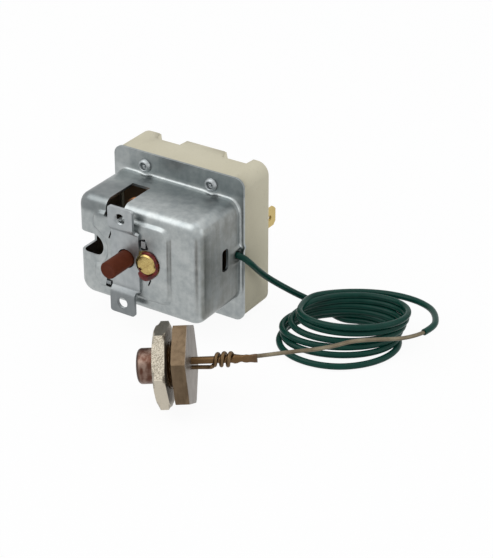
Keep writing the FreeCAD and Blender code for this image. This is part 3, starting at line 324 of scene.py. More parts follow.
def lacquer_finish():
    """Thick glossy lacquer with uneven depth of colour."""
    finish = Finish("red_lacquer", Specular_IOR_Level=0.2, Coat_Weight=0.15, Coat_Roughness=0.08)
    clouds = finish.noise(500, 3)
    finish.feed("Base Color", finish.mix(clouds.clear(0.3, 0.7), shade(64, 10, 8), shade(112, 26, 20)))
    finish.feed("Roughness", 0.2 + clouds * 0.15)
    finish.bump(clouds, 0.12, 0.5)
    return finish.material


def metal_finish(name, pale, deep, roughness, speckle=0.3, grain=1500, depth=0.015):
    """Plain metal: cloudy tarnish between two colours, and a fine grain."""
    finish = Finish(name, Metallic=1.0)
    clouds = finish.noise(160, 4)
    spots = finish.noise(grain, 3)
    finish.feed("Base Color", finish.mix(clouds * (1 - speckle) + spots * speckle, deep, pale))
    finish.feed("Roughness", roughness - 0.08 + spots * 0.16)
    finish.bump(spots, depth, 0.5)
    return finish.material


def cup_finish():
    """Brazed cup: streaked red-brown tarnish with a dark band at its closed end."""
    finish = Finish("cup_copper", Metallic=1.0)
    clouds = finish.noise(260, 4)
    streaks = finish.noise(700, 3, (1, 1, 0.15))
    tone = (clouds * 0.5 + streaks * 0.5).clear(0.38, 0.64)
    end = 1 - finish.beyond(GLAND_ALONG, -10.8, -9.9, GLAND_SEAT)
    base = finish.mix(tone, shade(86, 58, 47), shade(138, 118, 107))
    finish.feed("Base Color", finish.mix(end * 0.85, base, shade(56, 40, 34)))
    finish.feed("Roughness", 0.3 + streaks * 0.16)
    finish.bump(streaks, 0.03, 0.5)
    return finish.material


def hexagon_finish():
    """Turned hexagon: brown tarnish with upright wipes on its flats, and a pale worn end face."""
    finish = Finish("hexagon_bronze", Metallic=1.0)
    clouds = finish.noise(240, 4)
    wipes = finish.noise(900, 3, (1, 1, 0.12))
    grain = finish.noise(3000, 2)
    tone = clouds * 0.45 + wipes * 0.4 + grain * 0.15
    face = finish.beyond(GLAND_ALONG, 3.85, 4.09, GLAND_SEAT)
    base = finish.mix(tone.clear(0.3, 0.7), shade(86, 72, 56), shade(117, 100, 80))
    worn = finish.mix(clouds, shade(96, 86, 76), shade(152, 146, 139))
    finish.feed("Base Color", finish.mix(face * 0.9, base, worn))
    finish.feed("Roughness", 0.36 + wipes * 0.16)
    finish.bump(wipes * 0.7 + grain * 0.3, 0.03, 0.5)
    return finish.material


def nut_finish():
    """Cast nut: light and dark speckle, but plain on its lowest flat; painted light makes that flat paler and
    painted shade darkens its upper one.
    """
    finish = Finish("nut_steel", Metallic=1.0)
    clouds = finish.noise(200, 3)
    speckle = finish.noise(3200, 2).clear(0.38, 0.62)
    shaded_upper_flat, lower = [
        finish.beyond(spokes(math.radians(NUT_TURN + turn)), 10.84, 10.94, GLAND_SEAT) for turn in (60, 180)
    ]
    # lowest flat: less speckle, and paler as painted light
    tone = clouds * 0.3 + (speckle * 0.7) * (0.25 + (1 - lower) * 0.75) + lower * 0.7
    flats = finish.mix(tone, shade(120, 113, 100), shade(198, 190, 174))
    # painted shade on the upper flat
    finish.feed("Base Color", finish.mix(shaded_upper_flat * 0.75, flats, shade(74, 74, 68)))
    finish.feed("Roughness", 0.36 + speckle * 0.12)
    finish.bump(speckle, 0.04, 0.6)
    return finish.material


def sleeve_finish():
    """Dark green plastic sleeve with a soft gloss."""
    finish = Finish("green_sleeve", Specular_IOR_Level=0.13)
    clouds = finish.noise(240, 3)
    grain = finish.noise(2400, 2)
    finish.feed("Base Color", finish.mix(clouds, shade(6, 48, 40), shade(13, 66, 56)))
    finish.feed("Roughness", 0.2 + clouds * 0.1)
    finish.bump(grain, 0.015, 0.35)
    return finish.material


def tinted_capillary(name, pale, middle, deep):
    """Heat-tinted copper tube: bands and spots of three colours, and a brown tint near the gland."""
    finish = Finish(name, Metallic=1.0)
    bands = finish.noise(130, 3)
    spots = finish.noise(1300, 3)
    warm = finish.mix(bands.clear(0.35, 0.65), deep, middle)
    near = 1 - finish.beyond(GLAND_ALONG, 17, 24, GLAND_SEAT)
    colour = finish.mix(spots * bands, warm, pale)
    finish.feed("Base Color", finish.mix(near * 0.75, colour, shade(102, 78, 50)))
    finish.feed("Roughness", 0.34 + spots * 0.18)
    finish.bump(spots, 0.015, 0.5)
    return finish.material


FINISHES = {
    "zinc_steel": zinc_finish("zinc_steel", shade(176, 180, 180), shade(146, 152, 153)),
    "cover_zinc": zinc_finish("cover_zinc", shade(180, 184, 183), shade(146, 152, 153), tint=cover_painted_shade_and_stain),
    "bright_zinc": zinc_finish(
        "bright_zinc", shade(176, 180, 181), shade(152, 157, 159), 0.4, lower_ear_painted_shade,
    ),
    "capsule_steel": zinc_finish("capsule_steel", shade(186, 186, 182), shade(152, 152, 149)),
    "button_plastic": plastic_finish("button_plastic", shade(100, 51, 34), shade(74, 35, 23), 0.42, 0.05),
    "yellow_brass": metal_finish("yellow_brass", shade(212, 192, 128), shade(168, 142, 84), 0.32, 0.5),
    "red_lacquer": lacquer_finish(),
    "silver": metal_finish("silver", shade(230, 228, 222), shade(205, 203, 198), 0.3),
    "beige_ceramic": ceramic_finish(),
    "dark_moulding": plastic_finish("dark_moulding", shade(56, 50, 44), shade(36, 32, 28)),
    "fibre_plate": plastic_finish("fibre_plate", shade(140, 112, 82), shade(112, 88, 62), 0.7),
    "gland_bronze": metal_finish("gland_bronze", shade(138, 116, 88), shade(96, 76, 54), 0.42, 0.4, 900),
    "hexagon_bronze": hexagon_finish(),
    "cup_copper": cup_finish(),
    "nut_steel": nut_finish(),
    "screw_brass": metal_finish(
        "screw_brass", shade(226, 206, 138), shade(128, 96, 50), 0.26, speckle=0.85, grain=900, depth=0.09,
    ),
    "pale_copper": tinted_capillary(
        "pale_copper", shade(136, 130, 112), shade(116, 107, 90), shade(90, 79, 64),
    ),
    "warm_copper": metal_finish("warm_copper", shade(190, 134, 90), shade(128, 80, 50), 0.3),
    "brown_copper": tinted_capillary(
        "brown_copper", shade(128, 112, 90), shade(104, 82, 62), shade(80, 60, 46),
    ),
    "green_sleeve": sleeve_finish(),
}


def dress(piece, finish, body="housing", replaced=()):
    """Give a piece its finish, its body and the nodes that it stands for."""
    piece.data.materials.clear()
    piece.data.materials.append(FINISHES[finish])
    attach(piece, body)
    for node in replaced:
        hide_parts(node)
    return piece


def grid_faces(rows, columns, around=True):
    """Quads of a grid; around joins its last column to its first."""
    row = np.arange(rows - 1)[:, None]
    column = np.arange(columns if around else columns - 1)[None, :]
    after = (column + 1) % columns
    quads = [
        row * columns + column,
        row * columns + after,
        (row + 1) * columns + after,
        (row + 1) * columns + column,
    ]
    return np.stack(quads, -1).reshape(-1, 4)


def mesh_piece(name, points, faces, sharp=35.0, merge=True, outward=True):
    """Mesh object from an array of points in millimetres and an array of faces."""
    mesh = bpy.data.meshes.new(name)
    mesh.from_pydata((np.asarray(points).reshape(-1, 3) * MM).tolist(), [], faces.tolist())
    piece = placed(name, mesh)
    settle(piece, sharp, merge, outward)
    return piece


def settle(piece, sharp=35.0, merge=True, outward=True):
    """Merge doubles, turn the faces outward and shade smooth up to an angle."""
    made = bmesh.new()
    made.from_mesh(piece.data)
    if merge:
        bmesh.ops.remove_doubles(made, verts=made.verts, dist=0.002 * MM)
        bmesh.ops.dissolve_degenerate(made, edges=made.edges, dist=0.001 * MM)
    if outward:
        bmesh.ops.recalc_face_normals(made, faces=made.faces)
    made.to_mesh(piece.data)
    made.free()
    piece.data.shade_smooth()
    piece.data.set_sharp_from_angle(angle=math.radians(sharp))


def joined_grids(name, grids, sharp=35.0):
    """One mesh of several closed surfaces, each a grid of points whose columns go round."""
    points, faces, first = [], [], 0
    for grid in grids:
        rows, columns = grid.shape[:2]
        points.append(grid.reshape(-1, 3))
        faces.append(grid_faces(rows, columns) + first)
        first += rows * columns
    return mesh_piece(name, np.concatenate(points), np.concatenate(faces), sharp)


def rounded(profile, radius=0.15, steps=4):
    """Profile with its corners rounded: each becomes a short curve between two points near it."""
    corners = np.array(profile, float)
    made = [corners[0]]
    for before, here, after in zip(corners, corners[1:], corners[2:]):
        to_before = np.linalg.norm(before - here)
        to_after = np.linalg.norm(after - here)
        reach = min(radius, 0.45 * to_before, 0.45 * to_after)
        start = here + (before - here) / to_before * reach
        end = here + (after - here) / to_after * reach
        for step in np.linspace(0, 1, steps + 1):
            made.append((1 - step) ** 2 * start + 2 * step * (1 - step) * here + step ** 2 * end)
    made.append(corners[-1])
    return np.array(made)


def turned(profile, origin, along, across, around=72):
    """Turned surface: (distance, radius) pairs carried round an axis."""
    profile = np.array(profile, float)
    ring = spokes(full_turn(around), across, np.cross(along, across))
    return np.asarray(origin) + profile[:, 0, None, None] * along + profile[:, 1, None, None] * ring


def finished(piece, sharp=35.0):
    """Apply the piece's modifiers to its mesh."""
    graph = bpy.context.evaluated_depsgraph_get()
    mesh = bpy.data.meshes.new_from_object(piece.evaluated_get(graph))
    piece.modifiers.clear()
    piece.data = mesh
    settle(piece, sharp, outward=False)


def combine(piece, prisms, operation, sharp=35.0):
    """Join closed prisms to a piece, or cut them out of it."""
    cutter = joined_grids("cutter", prisms)
    modifier = piece.modifiers.new("combine", "BOOLEAN")
    modifier.object = cutter
    modifier.operation = operation
    modifier.solver = "EXACT"
    modifier.use_self = True
    finished(piece, sharp)
    bpy.data.objects.remove(cutter)


def carve(piece, prisms):
    """Cut closed prisms out of a piece."""
    combine(piece, prisms, "DIFFERENCE")


def prism(outline, low, high, axis="y"):
    """Closed prism: an outline carried along an axis, with both ends closed to their middle."""
    outline = np.array(outline, float)
    middle = outline.mean(0)
    rows = [(0.0, low), (1.0, low), (1.0, high), (0.0, high)]
    flat = np.stack([middle + (outline - middle) * size for size, _ in rows])
    depth = np.array([place for _, place in rows])[:, None] * np.ones(len(outline))
    order = {"x": (depth, flat[..., 0], flat[..., 1]), "y": (flat[..., 0], depth, flat[..., 1])}
    order["z"] = (flat[..., 0], flat[..., 1], depth)
    return np.stack(order[axis], -1)


def circle(x, z, radius, around=48):
    """Outline of a circle."""
    angle = full_turn(around)
    return np.stack([x + radius * np.cos(angle), z + radius * np.sin(angle)], -1)


def slot_outline(x, z, wide, high, lean=0.0, corner=0.25):
    """Rounded rectangle leaning from upright by a number of degrees, towards +X at its top."""
    angle = full_turn(32)
    corner = min(corner, wide / 2, high / 2)
    side = np.sign(np.round(np.cos(angle), 6)) * (wide / 2 - corner) + corner * np.cos(angle)
    up = np.sign(np.round(np.sin(angle), 6)) * (high / 2 - corner) + corner * np.sin(angle)
    cosine, sine = math.cos(math.radians(lean)), math.sin(math.radians(lean))
    return np.stack([x + side * cosine + up * sine, z - side * sine + up * cosine], -1)


def smooth_step(low, high, number):
    """0 at low, 1 at high and smooth between them."""
    share = np.clip((number - low) / (high - low), 0, 1)
    return share * share * (3 - 2 * share)


def perimeter(half_wide, half_high, corner, across=88, up=64, arc=12):
    """Points round a rounded rectangle about the origin, as many on each side and corner for any size."""
    turn = np.linspace(0, np.pi / 2, arc, endpoint=False)
    pieces = []
    sides = [(half_wide, half_high, up), (half_high, half_wide, across)] * 2
    for quarter, (reach, width, count) in enumerate(sides):
        straight = np.linspace(-(width - corner), width - corner, count, endpoint=False)
        run = np.stack([np.full(count, reach), straight], -1)
        bend = np.stack([reach - corner + corner * np.cos(turn), width - corner + corner * np.sin(turn)], -1)
        cosine, sine = [(1, 0), (0, 1), (-1, 0), (0, -1)][quarter]
        both = np.concatenate([run, bend])
        pieces.append(np.stack([
            both[:, 0] * cosine - both[:, 1] * sine, both[:, 0] * sine + both[:, 1] * cosine,
        ], -1))
    return np.concatenate(pieces)


def panel_depth(x, z):
    """Distance inside the raised panel: a rounded rectangle, smoothly cut by a circle round the notch."""
    left, right, low, high, corner = -12.9, 16.2, -12.8, 13.8, 4.2
    hollow_x, hollow_r, squeeze, blend = -12.6, 4.9, 0.92, 1.1
    out_x = np.abs(x - (left + right) / 2) - (right - left) / 2 + corner
    out_z = np.abs(z - (low + high) / 2) - (high - low) / 2 + corner
    outside = np.hypot(np.maximum(out_x, 0), np.maximum(out_z, 0)) + np.minimum(np.maximum(out_x, out_z), 0)
    in_block = corner - outside
    from_notch = np.hypot(x - hollow_x, (z - NOTCH_Z) * squeeze) - hollow_r
    share = np.clip(0.5 + 0.5 * (from_notch - in_block) / blend, 0, 1)
    return from_notch * (1 - share) + in_block * share - blend * share * (1 - share)


def front_height(x, z):
    """Height of the front face's relief: the raised panel and a soft swelling of the rest."""
    swell_high, swell_edge, swell_top = 0.16, 19.0, 8.0
    panel = PANEL_RAISE * smooth_step(0.2, 1.6, panel_depth(x, z))
    swell = smooth_step(swell_edge, swell_top, np.hypot(x - HOUSING_X, z * 1.25))
    return panel + swell_high * swell


def cover_ring(points, depth):
    """Points about the housing's middle, put at one depth or at a depth for each."""
    return np.stack([HOUSING_X + points[:, 0], np.broadcast_to(depth, len(points)), points[:, 1]], -1)


def cover_sheet():
    """Drawn cup: rings of a rounded rectangle run from the front's middle to the flange's edge."""
    edge, crease, corner = 3.0, 0.8, 4.0
    edge_corner, quarter = 0.6, np.pi / 2
    flat = perimeter(COVER_HALF_WIDE - edge, COVER_HALF_HIGH - edge, corner - edge + edge_corner)
    rings = []
    for share in np.linspace(0, 1, 52) ** 0.85:
        points = flat * share
        rings.append(cover_ring(points, COVER_FRONT - front_height(HOUSING_X + points[:, 0], points[:, 1])))
    for turn in np.linspace(0, quarter, 11)[1:]:
        inset = edge * (1 - math.sin(turn))
        bend = corner - inset + edge_corner * math.cos(turn)
        ring = perimeter(COVER_HALF_WIDE - inset, COVER_HALF_HIGH - inset, bend)
        rings.append(cover_ring(ring, COVER_FRONT + edge * (1 - math.cos(turn))))
    wall_end = FLANGE_FRONT - crease
    ring = perimeter(COVER_HALF_WIDE, COVER_HALF_HIGH, corner)
    for depth in np.linspace(COVER_FRONT + edge, wall_end, 12)[1:]:
        rings.append(cover_ring(ring, depth))
    for turn in np.linspace(0, quarter, 6)[1:]:
        out = crease * (1 - math.cos(turn))
        ring = perimeter(COVER_HALF_WIDE + out, COVER_HALF_HIGH + out, corner + out)
        rings.append(cover_ring(ring, wall_end + crease * math.sin(turn)))
    outer = perimeter(FLANGE_HALF_WIDE, FLANGE_HALF_HIGH, FLANGE_CORNER)
    for share in np.linspace(0, 1, 9)[1:]:
        rings.append(cover_ring(ring * (1 - share) + outer * share, FLANGE_FRONT))
    grid = np.stack(rings)
    dent_cover(grid)
    piece = mesh_piece("cover_sheet", grid, grid_faces(*grid.shape[:2]))
    face_front(piece)
    thicken(piece, SHEET_THICK, -1)
    carve(piece, cover_openings())
    carve(piece, [prism(circle(SCREW_X, SCREW_Z, SCREW_OPENING_R), CUT_START, 9)])
    return dress(piece, "cover_zinc", replaced=["front_cover"])


def face_front(piece):
    """Turn an open sheet so that its faces look forward and out."""
    centre = min(piece.data.polygons, key=lambda face: face.center.y)
    if centre.normal.y > 0:
        piece.data.flip_normals()


def thicken(piece, thick, side=0):
    """Give an open sheet its thickness: 0 puts half of it on each side, -1 all of it behind."""
    wall = piece.modifiers.new("wall", "SOLIDIFY")
    wall.thickness = thick * MM
    wall.offset = side
    finished(piece)


def strip_piece(name, x, y, z, thick):
    """Bent strip from the coordinates of its middle surface."""
    grid = np.stack(np.broadcast_arrays(x, y, z), -1)
    piece = mesh_piece(name, grid, grid_faces(*grid.shape[:2], around=False), merge=False)
    thicken(piece, thick)
    return piece


def dent_cover(grid):
    """Press soft dents into the sheet: under each rivet and round the capillary's exit."""
    dent_deep, dent_r = 0.5, 1.6
    rim_high, rim_r, rim_wide = 0.5, 2.3, 0.5
    x, y, z = grid[..., 0], grid[..., 1], grid[..., 2]
    for side, rise in CORNERS:
        gap = np.hypot(x - HOUSING_X - side * RIVET_X, z - rise * (COVER_HALF_HIGH + 0.2))
        dent = np.exp(-(gap / dent_r) ** 2) * smooth_step(FLANGE_FRONT - 4.5, FLANGE_FRONT - 1.0, y)
        grid[..., 2] -= rise * dent * dent_deep
    wall = HOUSING_X + COVER_HALF_WIDE
    side_wall = smooth_step(wall - 1.2, wall - 0.2, x)
    gap = np.hypot((y - 22.9) * 0.8, z - EXIT[2])
    rim = np.exp(-((gap - rim_r) / rim_wide) ** 2)
    grid[..., 0] += side_wall * rim * rim_high


def cover_openings():
    """Closed prisms of every opening in the cup and the flange."""
    deep, notch_deep, notch_end = 9, 11.5, -19.6
    wall = (HOUSING_X + COVER_HALF_WIDE - 3, HOUSING_X + COVER_HALF_WIDE + 2, "x")
    round_end = np.roll(circle(NOTCH_X, NOTCH_Z, NOTCH_R), 12, axis=0)[:25]
    notch = np.concatenate([
        round_end, [[notch_end, NOTCH_Z + NOTCH_R], [notch_end, NOTCH_Z - NOTCH_R]],
    ])
    left, right, front, rear = -7.6, -1.2, -1, 17.3
    top_slot = [[left, front], [right, front], [right, rear], [left, rear]]
    prisms = [
        prism(notch, CUT_START, notch_deep),
        prism(top_slot, 12.0, COVER_HALF_HIGH + 2, "z"),
        prism(slot_outline(16.5, 0.6, 3.3, 7.2, 0, 1.2), *wall),
        prism(circle(EXIT[1], EXIT[2], SLEEVE_R + OPENING_GAP, 32), *wall),
        prism(circle(BUTTON_X, BUTTON_Z, BUTTON_R + OPENING_GAP), CUT_START, deep),
    ]
    leaning_slots = [
        (-5.3, 6.8, 0.5, 3.6, 20),
        (6.65, 6.55, 2.6, 3.35, -20),
        (8.6, -5.6, 0.5, 2.4, 23),
        (-6.3, -10.3, 2.5, 3.1, 12),
    ]
    for slot in leaning_slots:
        prisms.append(prism(slot_outline(*slot), CUT_START, deep))
    for x, z in RIVETS:
        prisms.append(prism(circle(x, z, RIVET_R, 32), FLANGE_FRONT - 1, FLANGE_FRONT + 2.5))
    return prisms


def merged_copy(node):
    """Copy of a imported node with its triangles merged."""
    piece = placed(node + "_dressed", NODES[node].data.copy())
    settle(piece, outward=False)
    return piece


def ceramic_block():
    """Ceramic block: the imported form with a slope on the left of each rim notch, and softened edges."""
    piece = merged_copy("ceramic_base")
    notch_half, pocket_r, overlap = 2.7, 2.6, 0.05
    foot, crest, outer = 0.8, 3.9, 5.5
    slopes, pockets = [], []
    for side in (-1, 1):
        start = HOUSING_X + side * RIVET_X
        slope = [
            (start - outer, RIM_FLOOR - 0.6),
            (start - foot, RIM_FLOOR - 0.6),
            (start - foot, RIM_FLOOR + overlap),
            (start - crest, CERAMIC_BACK - overlap),
            (start - outer, CERAMIC_BACK - overlap),
        ]
        for low, high in ((RIVET_Z - notch_half, CERAMIC_EDGE), (-CERAMIC_EDGE, notch_half - RIVET_Z)):
            slopes.append(prism(slope, low, high, "z"))
        for rise in (-1, 1):
            pocket = circle(start, rise * RIVET_Z, pocket_r)
            pockets.append(prism(pocket, RIM_FLOOR - 2, CERAMIC_BACK + 1))
    combine(piece, slopes, "UNION")
    carve(piece, pockets)
    soften(piece, 0.3)
    return dress(piece, "beige_ceramic", replaced=["ceramic_base"])


def springs():
    """Contact springs: a merged copy of the imported springs with a mesh of its own. On the real thing they
    shorten towards their seats as the carrier comes back.
    """
    piece = merged_copy("contact_springs")
    dress(piece, "bright_zinc", replaced=["contact_springs"])
    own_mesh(piece)


def slot_leaf():
    """Bent leaf seen in the side slot: a strip whose depth follows a shallow wave along its height."""
    low, high, thick, front = -3.6, 4.6, 0.4, 15.0
    rise = np.linspace(low, high, 24)[:, None]
    share = np.linspace(0, 1, 6)[None, :]
    x = HOUSING_X + COVER_HALF_WIDE - 1.3 - 0.35 * np.cos(rise * 0.8) - 0.8 * share ** 2
    y = front + 1.5 * share + 0.25 * np.sin(rise * 0.9)
    return dress(strip_piece("slot_leaf", x, y, rise, thick), "bright_zinc")


def bracket_strip():
    """Folded strip: a grid of its length by its width, bent forward into an ear at each end."""
    ear_end, corner, half_wide, wing, forward = EAR_PITCH / 2 + 3.6, 0.9, 4.4, 1.1, 1.4
    long = np.concatenate([
        np.linspace(-ear_end, -ear_end + corner, 6, endpoint=False),
        np.linspace(-ear_end + corner, ear_end - corner, 141),
        np.linspace(ear_end - corner, ear_end, 7)[1:],
    ])
    past = np.clip(np.abs(long) - ear_end + corner, 0, corner)
    narrow = corner - np.sqrt(np.maximum(corner ** 2 - past ** 2, 0))
    plate = 1 - smooth_step(9.4, 10.1, np.abs(long))
    left = -half_wide + narrow
    right = half_wide - narrow + wing * plate
    x = left + (right - left) * np.linspace(0, 1, 25)[:, None]
    y = PANEL_FRONT - BRACKET_THICK / 2 - forward * smooth_step(9.1, 11.3, np.abs(long))
    piece = strip_piece("bracket_strip", x, y, long, BRACKET_THICK)
    holes = [prism(circle(0, rise * EAR_PITCH / 2, EAR_HOLE, 40), CUT_START, 3) for rise in (-1, 1)]
    holes.append(prism(circle(BUTTON_X, BUTTON_Z, BUTTON_R + OPENING_GAP), CUT_START, 6))
    holes.append(prism(circle(SCREW_X, SCREW_Z, SCREW_HEAD_R + OPENING_GAP), CUT_START, 6))
    carve(piece, holes)
    soften(piece, 0.12)
    return dress(piece, "bright_zinc", replaced=["mounting_bracket"])


def soften(piece, radius):
    """Small bevel along the sharp edges."""
    bevel = piece.modifiers.new("edges", "BEVEL")
    bevel.width = radius * MM
    bevel.segments = 2
    bevel.limit_method = "ANGLE"
    bevel.angle_limit = math.radians(50)
    bevel.use_clamp_overlap = True
    finished(piece)


def ear_threads():
    """Thread of the ear holes: the hole's radius follows a triangular wave along its depth."""
    pitch, deep, start, end = 0.5, 0.28, 0.05, 0.95
    inside, outside = EAR_HOLE - 0.02, EAR_HOLE + 0.02
    profile = [(start, outside)]
    for place in np.linspace(start, end, 19):
        profile.append((place, inside - deep * abs((place / pitch) % 1 * 2 - 1)))
    profile += [(end, outside), (start, outside)]
    grids = [turned(profile, (0, 0, rise * EAR_PITCH / 2), INWARD, RIGHT, 40) for rise in (-1, 1)]
    return dress(joined_grids("ear_threads", grids), "bright_zinc")


def reset_button():
    """Moulded button: a turned body with a rounded rim, a collar and a faint dish in its end."""
    proud, collar_front, collar_thick, collar_r = 9, 6.92, 1, 3.5
    tip = PANEL_FRONT - BRACKET_THICK - proud
    collar, back = collar_front - tip, collar_front + collar_thick - tip
    profile = rounded([
        (0.12, 0), (0.1, 1.2), (0.0, 2.0), (0.0, BUTTON_R),
        (collar, BUTTON_R), (collar, collar_r), (back, collar_r), (back, 0),
    ], 0.35)
    grid = turned(profile, (BUTTON_X, tip, BUTTON_Z), INWARD, RIGHT)
    return dress(joined_grids("button_cap", [grid]), "button_plastic", "button", ["reset_button"])


def rivets():
    """Rivets: a domed head with a hollow in front, the shank and a plain head behind."""
    long, head_r, shank_r = RIM_FLOOR - FLANGE_FRONT, 2.2, RIVET_R - 0.02
    profile = rounded([
        (-0.8, 0), (-0.72, 0.4), (-0.12, 0.62), (-0.12, 0.98), (-1.05, 1.16), (-1.2, 1.4), (-0.9, 1.9),
        (-0.25, head_r), (0.0, head_r), (0.0, shank_r),
        (long, shank_r), (long, head_r), (long + 0.45, 2.0), (long + 0.7, 1.3), (long + 0.7, 0),
    ], 0.25)
    grids = [turned(profile, (x, FLANGE_FRONT, z), INWARD, RIGHT, 48) for x, z in RIVETS]
    return dress(joined_grids("rivet_heads", grids), "bright_zinc", replaced=["cover_rivets"])


def lacquer_blobs():
    """Sealing lacquer: a ring whose width and height swell and thin round the screw."""
    start, end = math.radians(-152), math.radians(125)
    rows, ring_r, overlap = 120, 3.62, 0.1
    angle = np.linspace(start, end, rows)[:, None]
    share = np.linspace(0, 1, rows)[:, None]
    taper = np.sqrt(np.clip(1 - (2 * share - 1) ** 8, 0, 1))
    swell = 0.5 + 0.5 * np.sin(3.1 * angle + 1.3) * np.sin(1.7 * angle + 0.4)
    drip = np.exp(-((angle + math.radians(106)) / 0.62) ** 2)
    drip = drip + 0.3 * np.exp(-((angle - math.radians(62)) / 0.4) ** 2)
    width = (0.36 + 0.24 * swell + 0.85 * drip) * taper + 0.001
    height = (0.4 + 0.3 * swell + 0.3 * drip) * taper + 0.001
    turn = full_turn(20)
    radius = ring_r + 0.9 * drip + width * np.cos(turn)
    x = SCREW_X + radius * np.cos(angle)
    z = SCREW_Z + radius * np.sin(angle)
    y = PANEL_FRONT - overlap - height * (0.55 + 0.9 * np.sin(turn))
    grid = np.stack([x, y, z], -1)
    return dress(joined_grids("lacquer_blobs", [grid], 60), "red_lacquer", replaced=["lacquer_seal"])


def on_gland(distance, side, lift):
    """Point by the gland's own directions: along its axis, behind it and above it."""
    return GLAND_SEAT + distance * GLAND_ALONG + side * GLAND_ACROSS + lift * GLAND_UP


def hexagon(profile, turn=0.0, around=216):
    """Hexagon form: at each angle the radius is the smaller of the flat's and the profile's."""
    profile = np.array(profile, float)
    angle = full_turn(around)
    half_side = np.pi / 6
    off_side = (angle + half_side) % (2 * half_side) - half_side
    radius = np.minimum(profile[:, 1, None], GLAND_APOTHEM / np.cos(off_side))
    ring = spokes(angle + math.radians(turn) + half_side + np.pi / 2)
    return GLAND_SEAT + profile[:, 0, None, None] * GLAND_ALONG + radius[..., None] * ring


def thread_surface(start, end, low, high, pitch=1.34, around=96, rows_to_pitch=14):
    """Thread: the radius follows a rounded triangular wave of distance and angle."""
    rows = int((end - start) / pitch * rows_to_pitch)
    distance = np.linspace(start, end, rows)[:, None]
    angle = full_turn(around)
    wave = 0.5 + 0.5 * np.cos(2 * np.pi * distance / pitch - angle)
    fade = smooth_step(start, start + 0.5, distance) * smooth_step(end, end - 0.3, distance)
    radius = low + (high - low) * wave ** 0.8 * fade
    ring = spokes(angle)
    grid = GLAND_SEAT + distance[..., None] * GLAND_ALONG + radius[..., None] * ring
    ends = [GLAND_SEAT + place * GLAND_ALONG + np.zeros_like(ring) for place in (start, end)]
    return np.concatenate([ends[0][None], grid, ends[1][None]])


def gland():
    """Gland: closed cup, thread and hexagon on one axis, and the loose nut."""
    cup_r, bore_r, mouth_r, face_r, wide = 5.1, 6.63, 7.1, 12.35, GLAND_CORNER + 0.1
    cup = rounded([
        (-11.1, 0), (-11.1, 4.1), (-10.85, 4.7), (-10.2, cup_r), (-5.3, cup_r), (-5.0, cup_r), (-5.0, 0),
    ], 0.4)
    cup_piece = joined_grids("gland_cup", [turned(cup, GLAND_SEAT, GLAND_ALONG, GLAND_ACROSS, 96)])
    dress(cup_piece, "cup_copper")
    spiral = thread_surface(start=-5.4, end=0.4, low=5.75, high=6.5)
    thread = joined_grids("gland_thread", [spiral], 60)
    dress(thread, "gland_bronze")
    flange = hexagon(rounded([
        (0, 0), (0, face_r), (0.2, wide), (3.9, wide), (4.1, face_r), (4.1, 0),
    ], 0.1, 3))
    body = dress(joined_grids("gland_hexagon", [flange], 28), "hexagon_bronze", replaced=["gland_body"])
    left, right = -5.5, -1.9
    nut = hexagon(rounded([
        (left + 0.4, bore_r), (left, mouth_r), (left, 11.15), (left + 0.8, wide), (-2.5, wide),
        (right, 11.5), (right, mouth_r), (-2.3, bore_r), (left + 0.4, bore_r),
    ], 0.12, 3), NUT_TURN)
    nut_piece = dress(joined_grids("nut_body", [nut], 28), "nut_steel", "nut", ["gland_nut"])
    return [cup_piece, thread, body, nut_piece]


def filler_tube():
    """Filling tube: its round section flattens into a pinched end whose height swells and narrows."""
    around = 40
    distance = np.concatenate([
        np.linspace(FILLER_START, 15.2, 10), np.linspace(15.4, FILLER_END, 40),
    ])[:, None]
    flat = smooth_step(16.4, 18.4, distance)
    high = 1.0 + 0.34 * smooth_step(15.4, 16.4, distance) - 0.42 * np.exp(-((distance - 18.1) / 0.9) ** 2)
    high -= 0.16 * np.exp(-((distance - 20.6) / 0.8) ** 2)
    thick = 1.0 - 0.5 * flat + 0.14 * smooth_step(21.0, 22.4, distance)
    angle = full_turn(around)
    side = np.sign(np.cos(angle)) * np.abs(np.cos(angle)) ** 0.85 * thick
    lift = np.sign(np.sin(angle)) * np.abs(np.sin(angle)) ** 0.85 * high + FILLER_LIFT
    grid = on_gland(distance[..., None], side[..., None], lift[..., None])
    first, last = [
        np.zeros((1, around, 3)) + on_gland(place, 0, FILLER_LIFT) for place in (FILLER_START, FILLER_END)
    ]
    grid = np.concatenate([first, grid, last])
    return dress(joined_grids("filler_tube_pinched", [grid], 40), "brown_copper", replaced=["filler_tube"])


def strand(name, route, radius):
    """Smooth cord: a spline of order 3 with the route's points as its control points."""
    curve = bpy.data.curves.new(name, "CURVE")
    curve.dimensions = "3D"
    spline = curve.splines.new("NURBS")
    spline.points.add(len(route) - 1)
    for spot, place in zip(spline.points, route):
        spot.co = (*(np.asarray(place) * MM).tolist(), 1)
    spline.order_u = 3
    spline.use_endpoint_u = True
    spline.resolution_u = 8
    curve.bevel_depth = radius * MM
    curve.bevel_resolution = 5
    curve.use_fill_caps = True
    return placed(name, curve)


# Turns of the coil, lowest first: how far each reaches to the right, left, front and back of the middle,
# as the camera sees them, its heights in front and behind, and how far its front lies to the right
COIL_MIDDLE = np.array([59.5, 30.5])
TURN_RIGHT = [16.9, 16.4, 17.0, 17.7, 18.3, 18.6]
TURN_LEFT = [-19.4, -18.4, -18.9, -16.4, -14.3, -14.3]
TURN_FRONT = [-15.5, -11.7, -10.4, -10.1, -9.2, -9.8]
TURN_BACK = [12.0, 12.6, 12.2, 12.6, 13.0, 13.4, 14.6]
FRONT_LEVEL = [-22.75, -21.1, -19.2, -17.3, -15.2, -12.9]
BACK_LEVEL = [-22.75, -20.9, -19.6, -18.1, -16.5, -14.9, -13.9]
FRONT_SHIFT = [-1.6, -1.2, -0.8, -0.4, 0.0, 0.3]


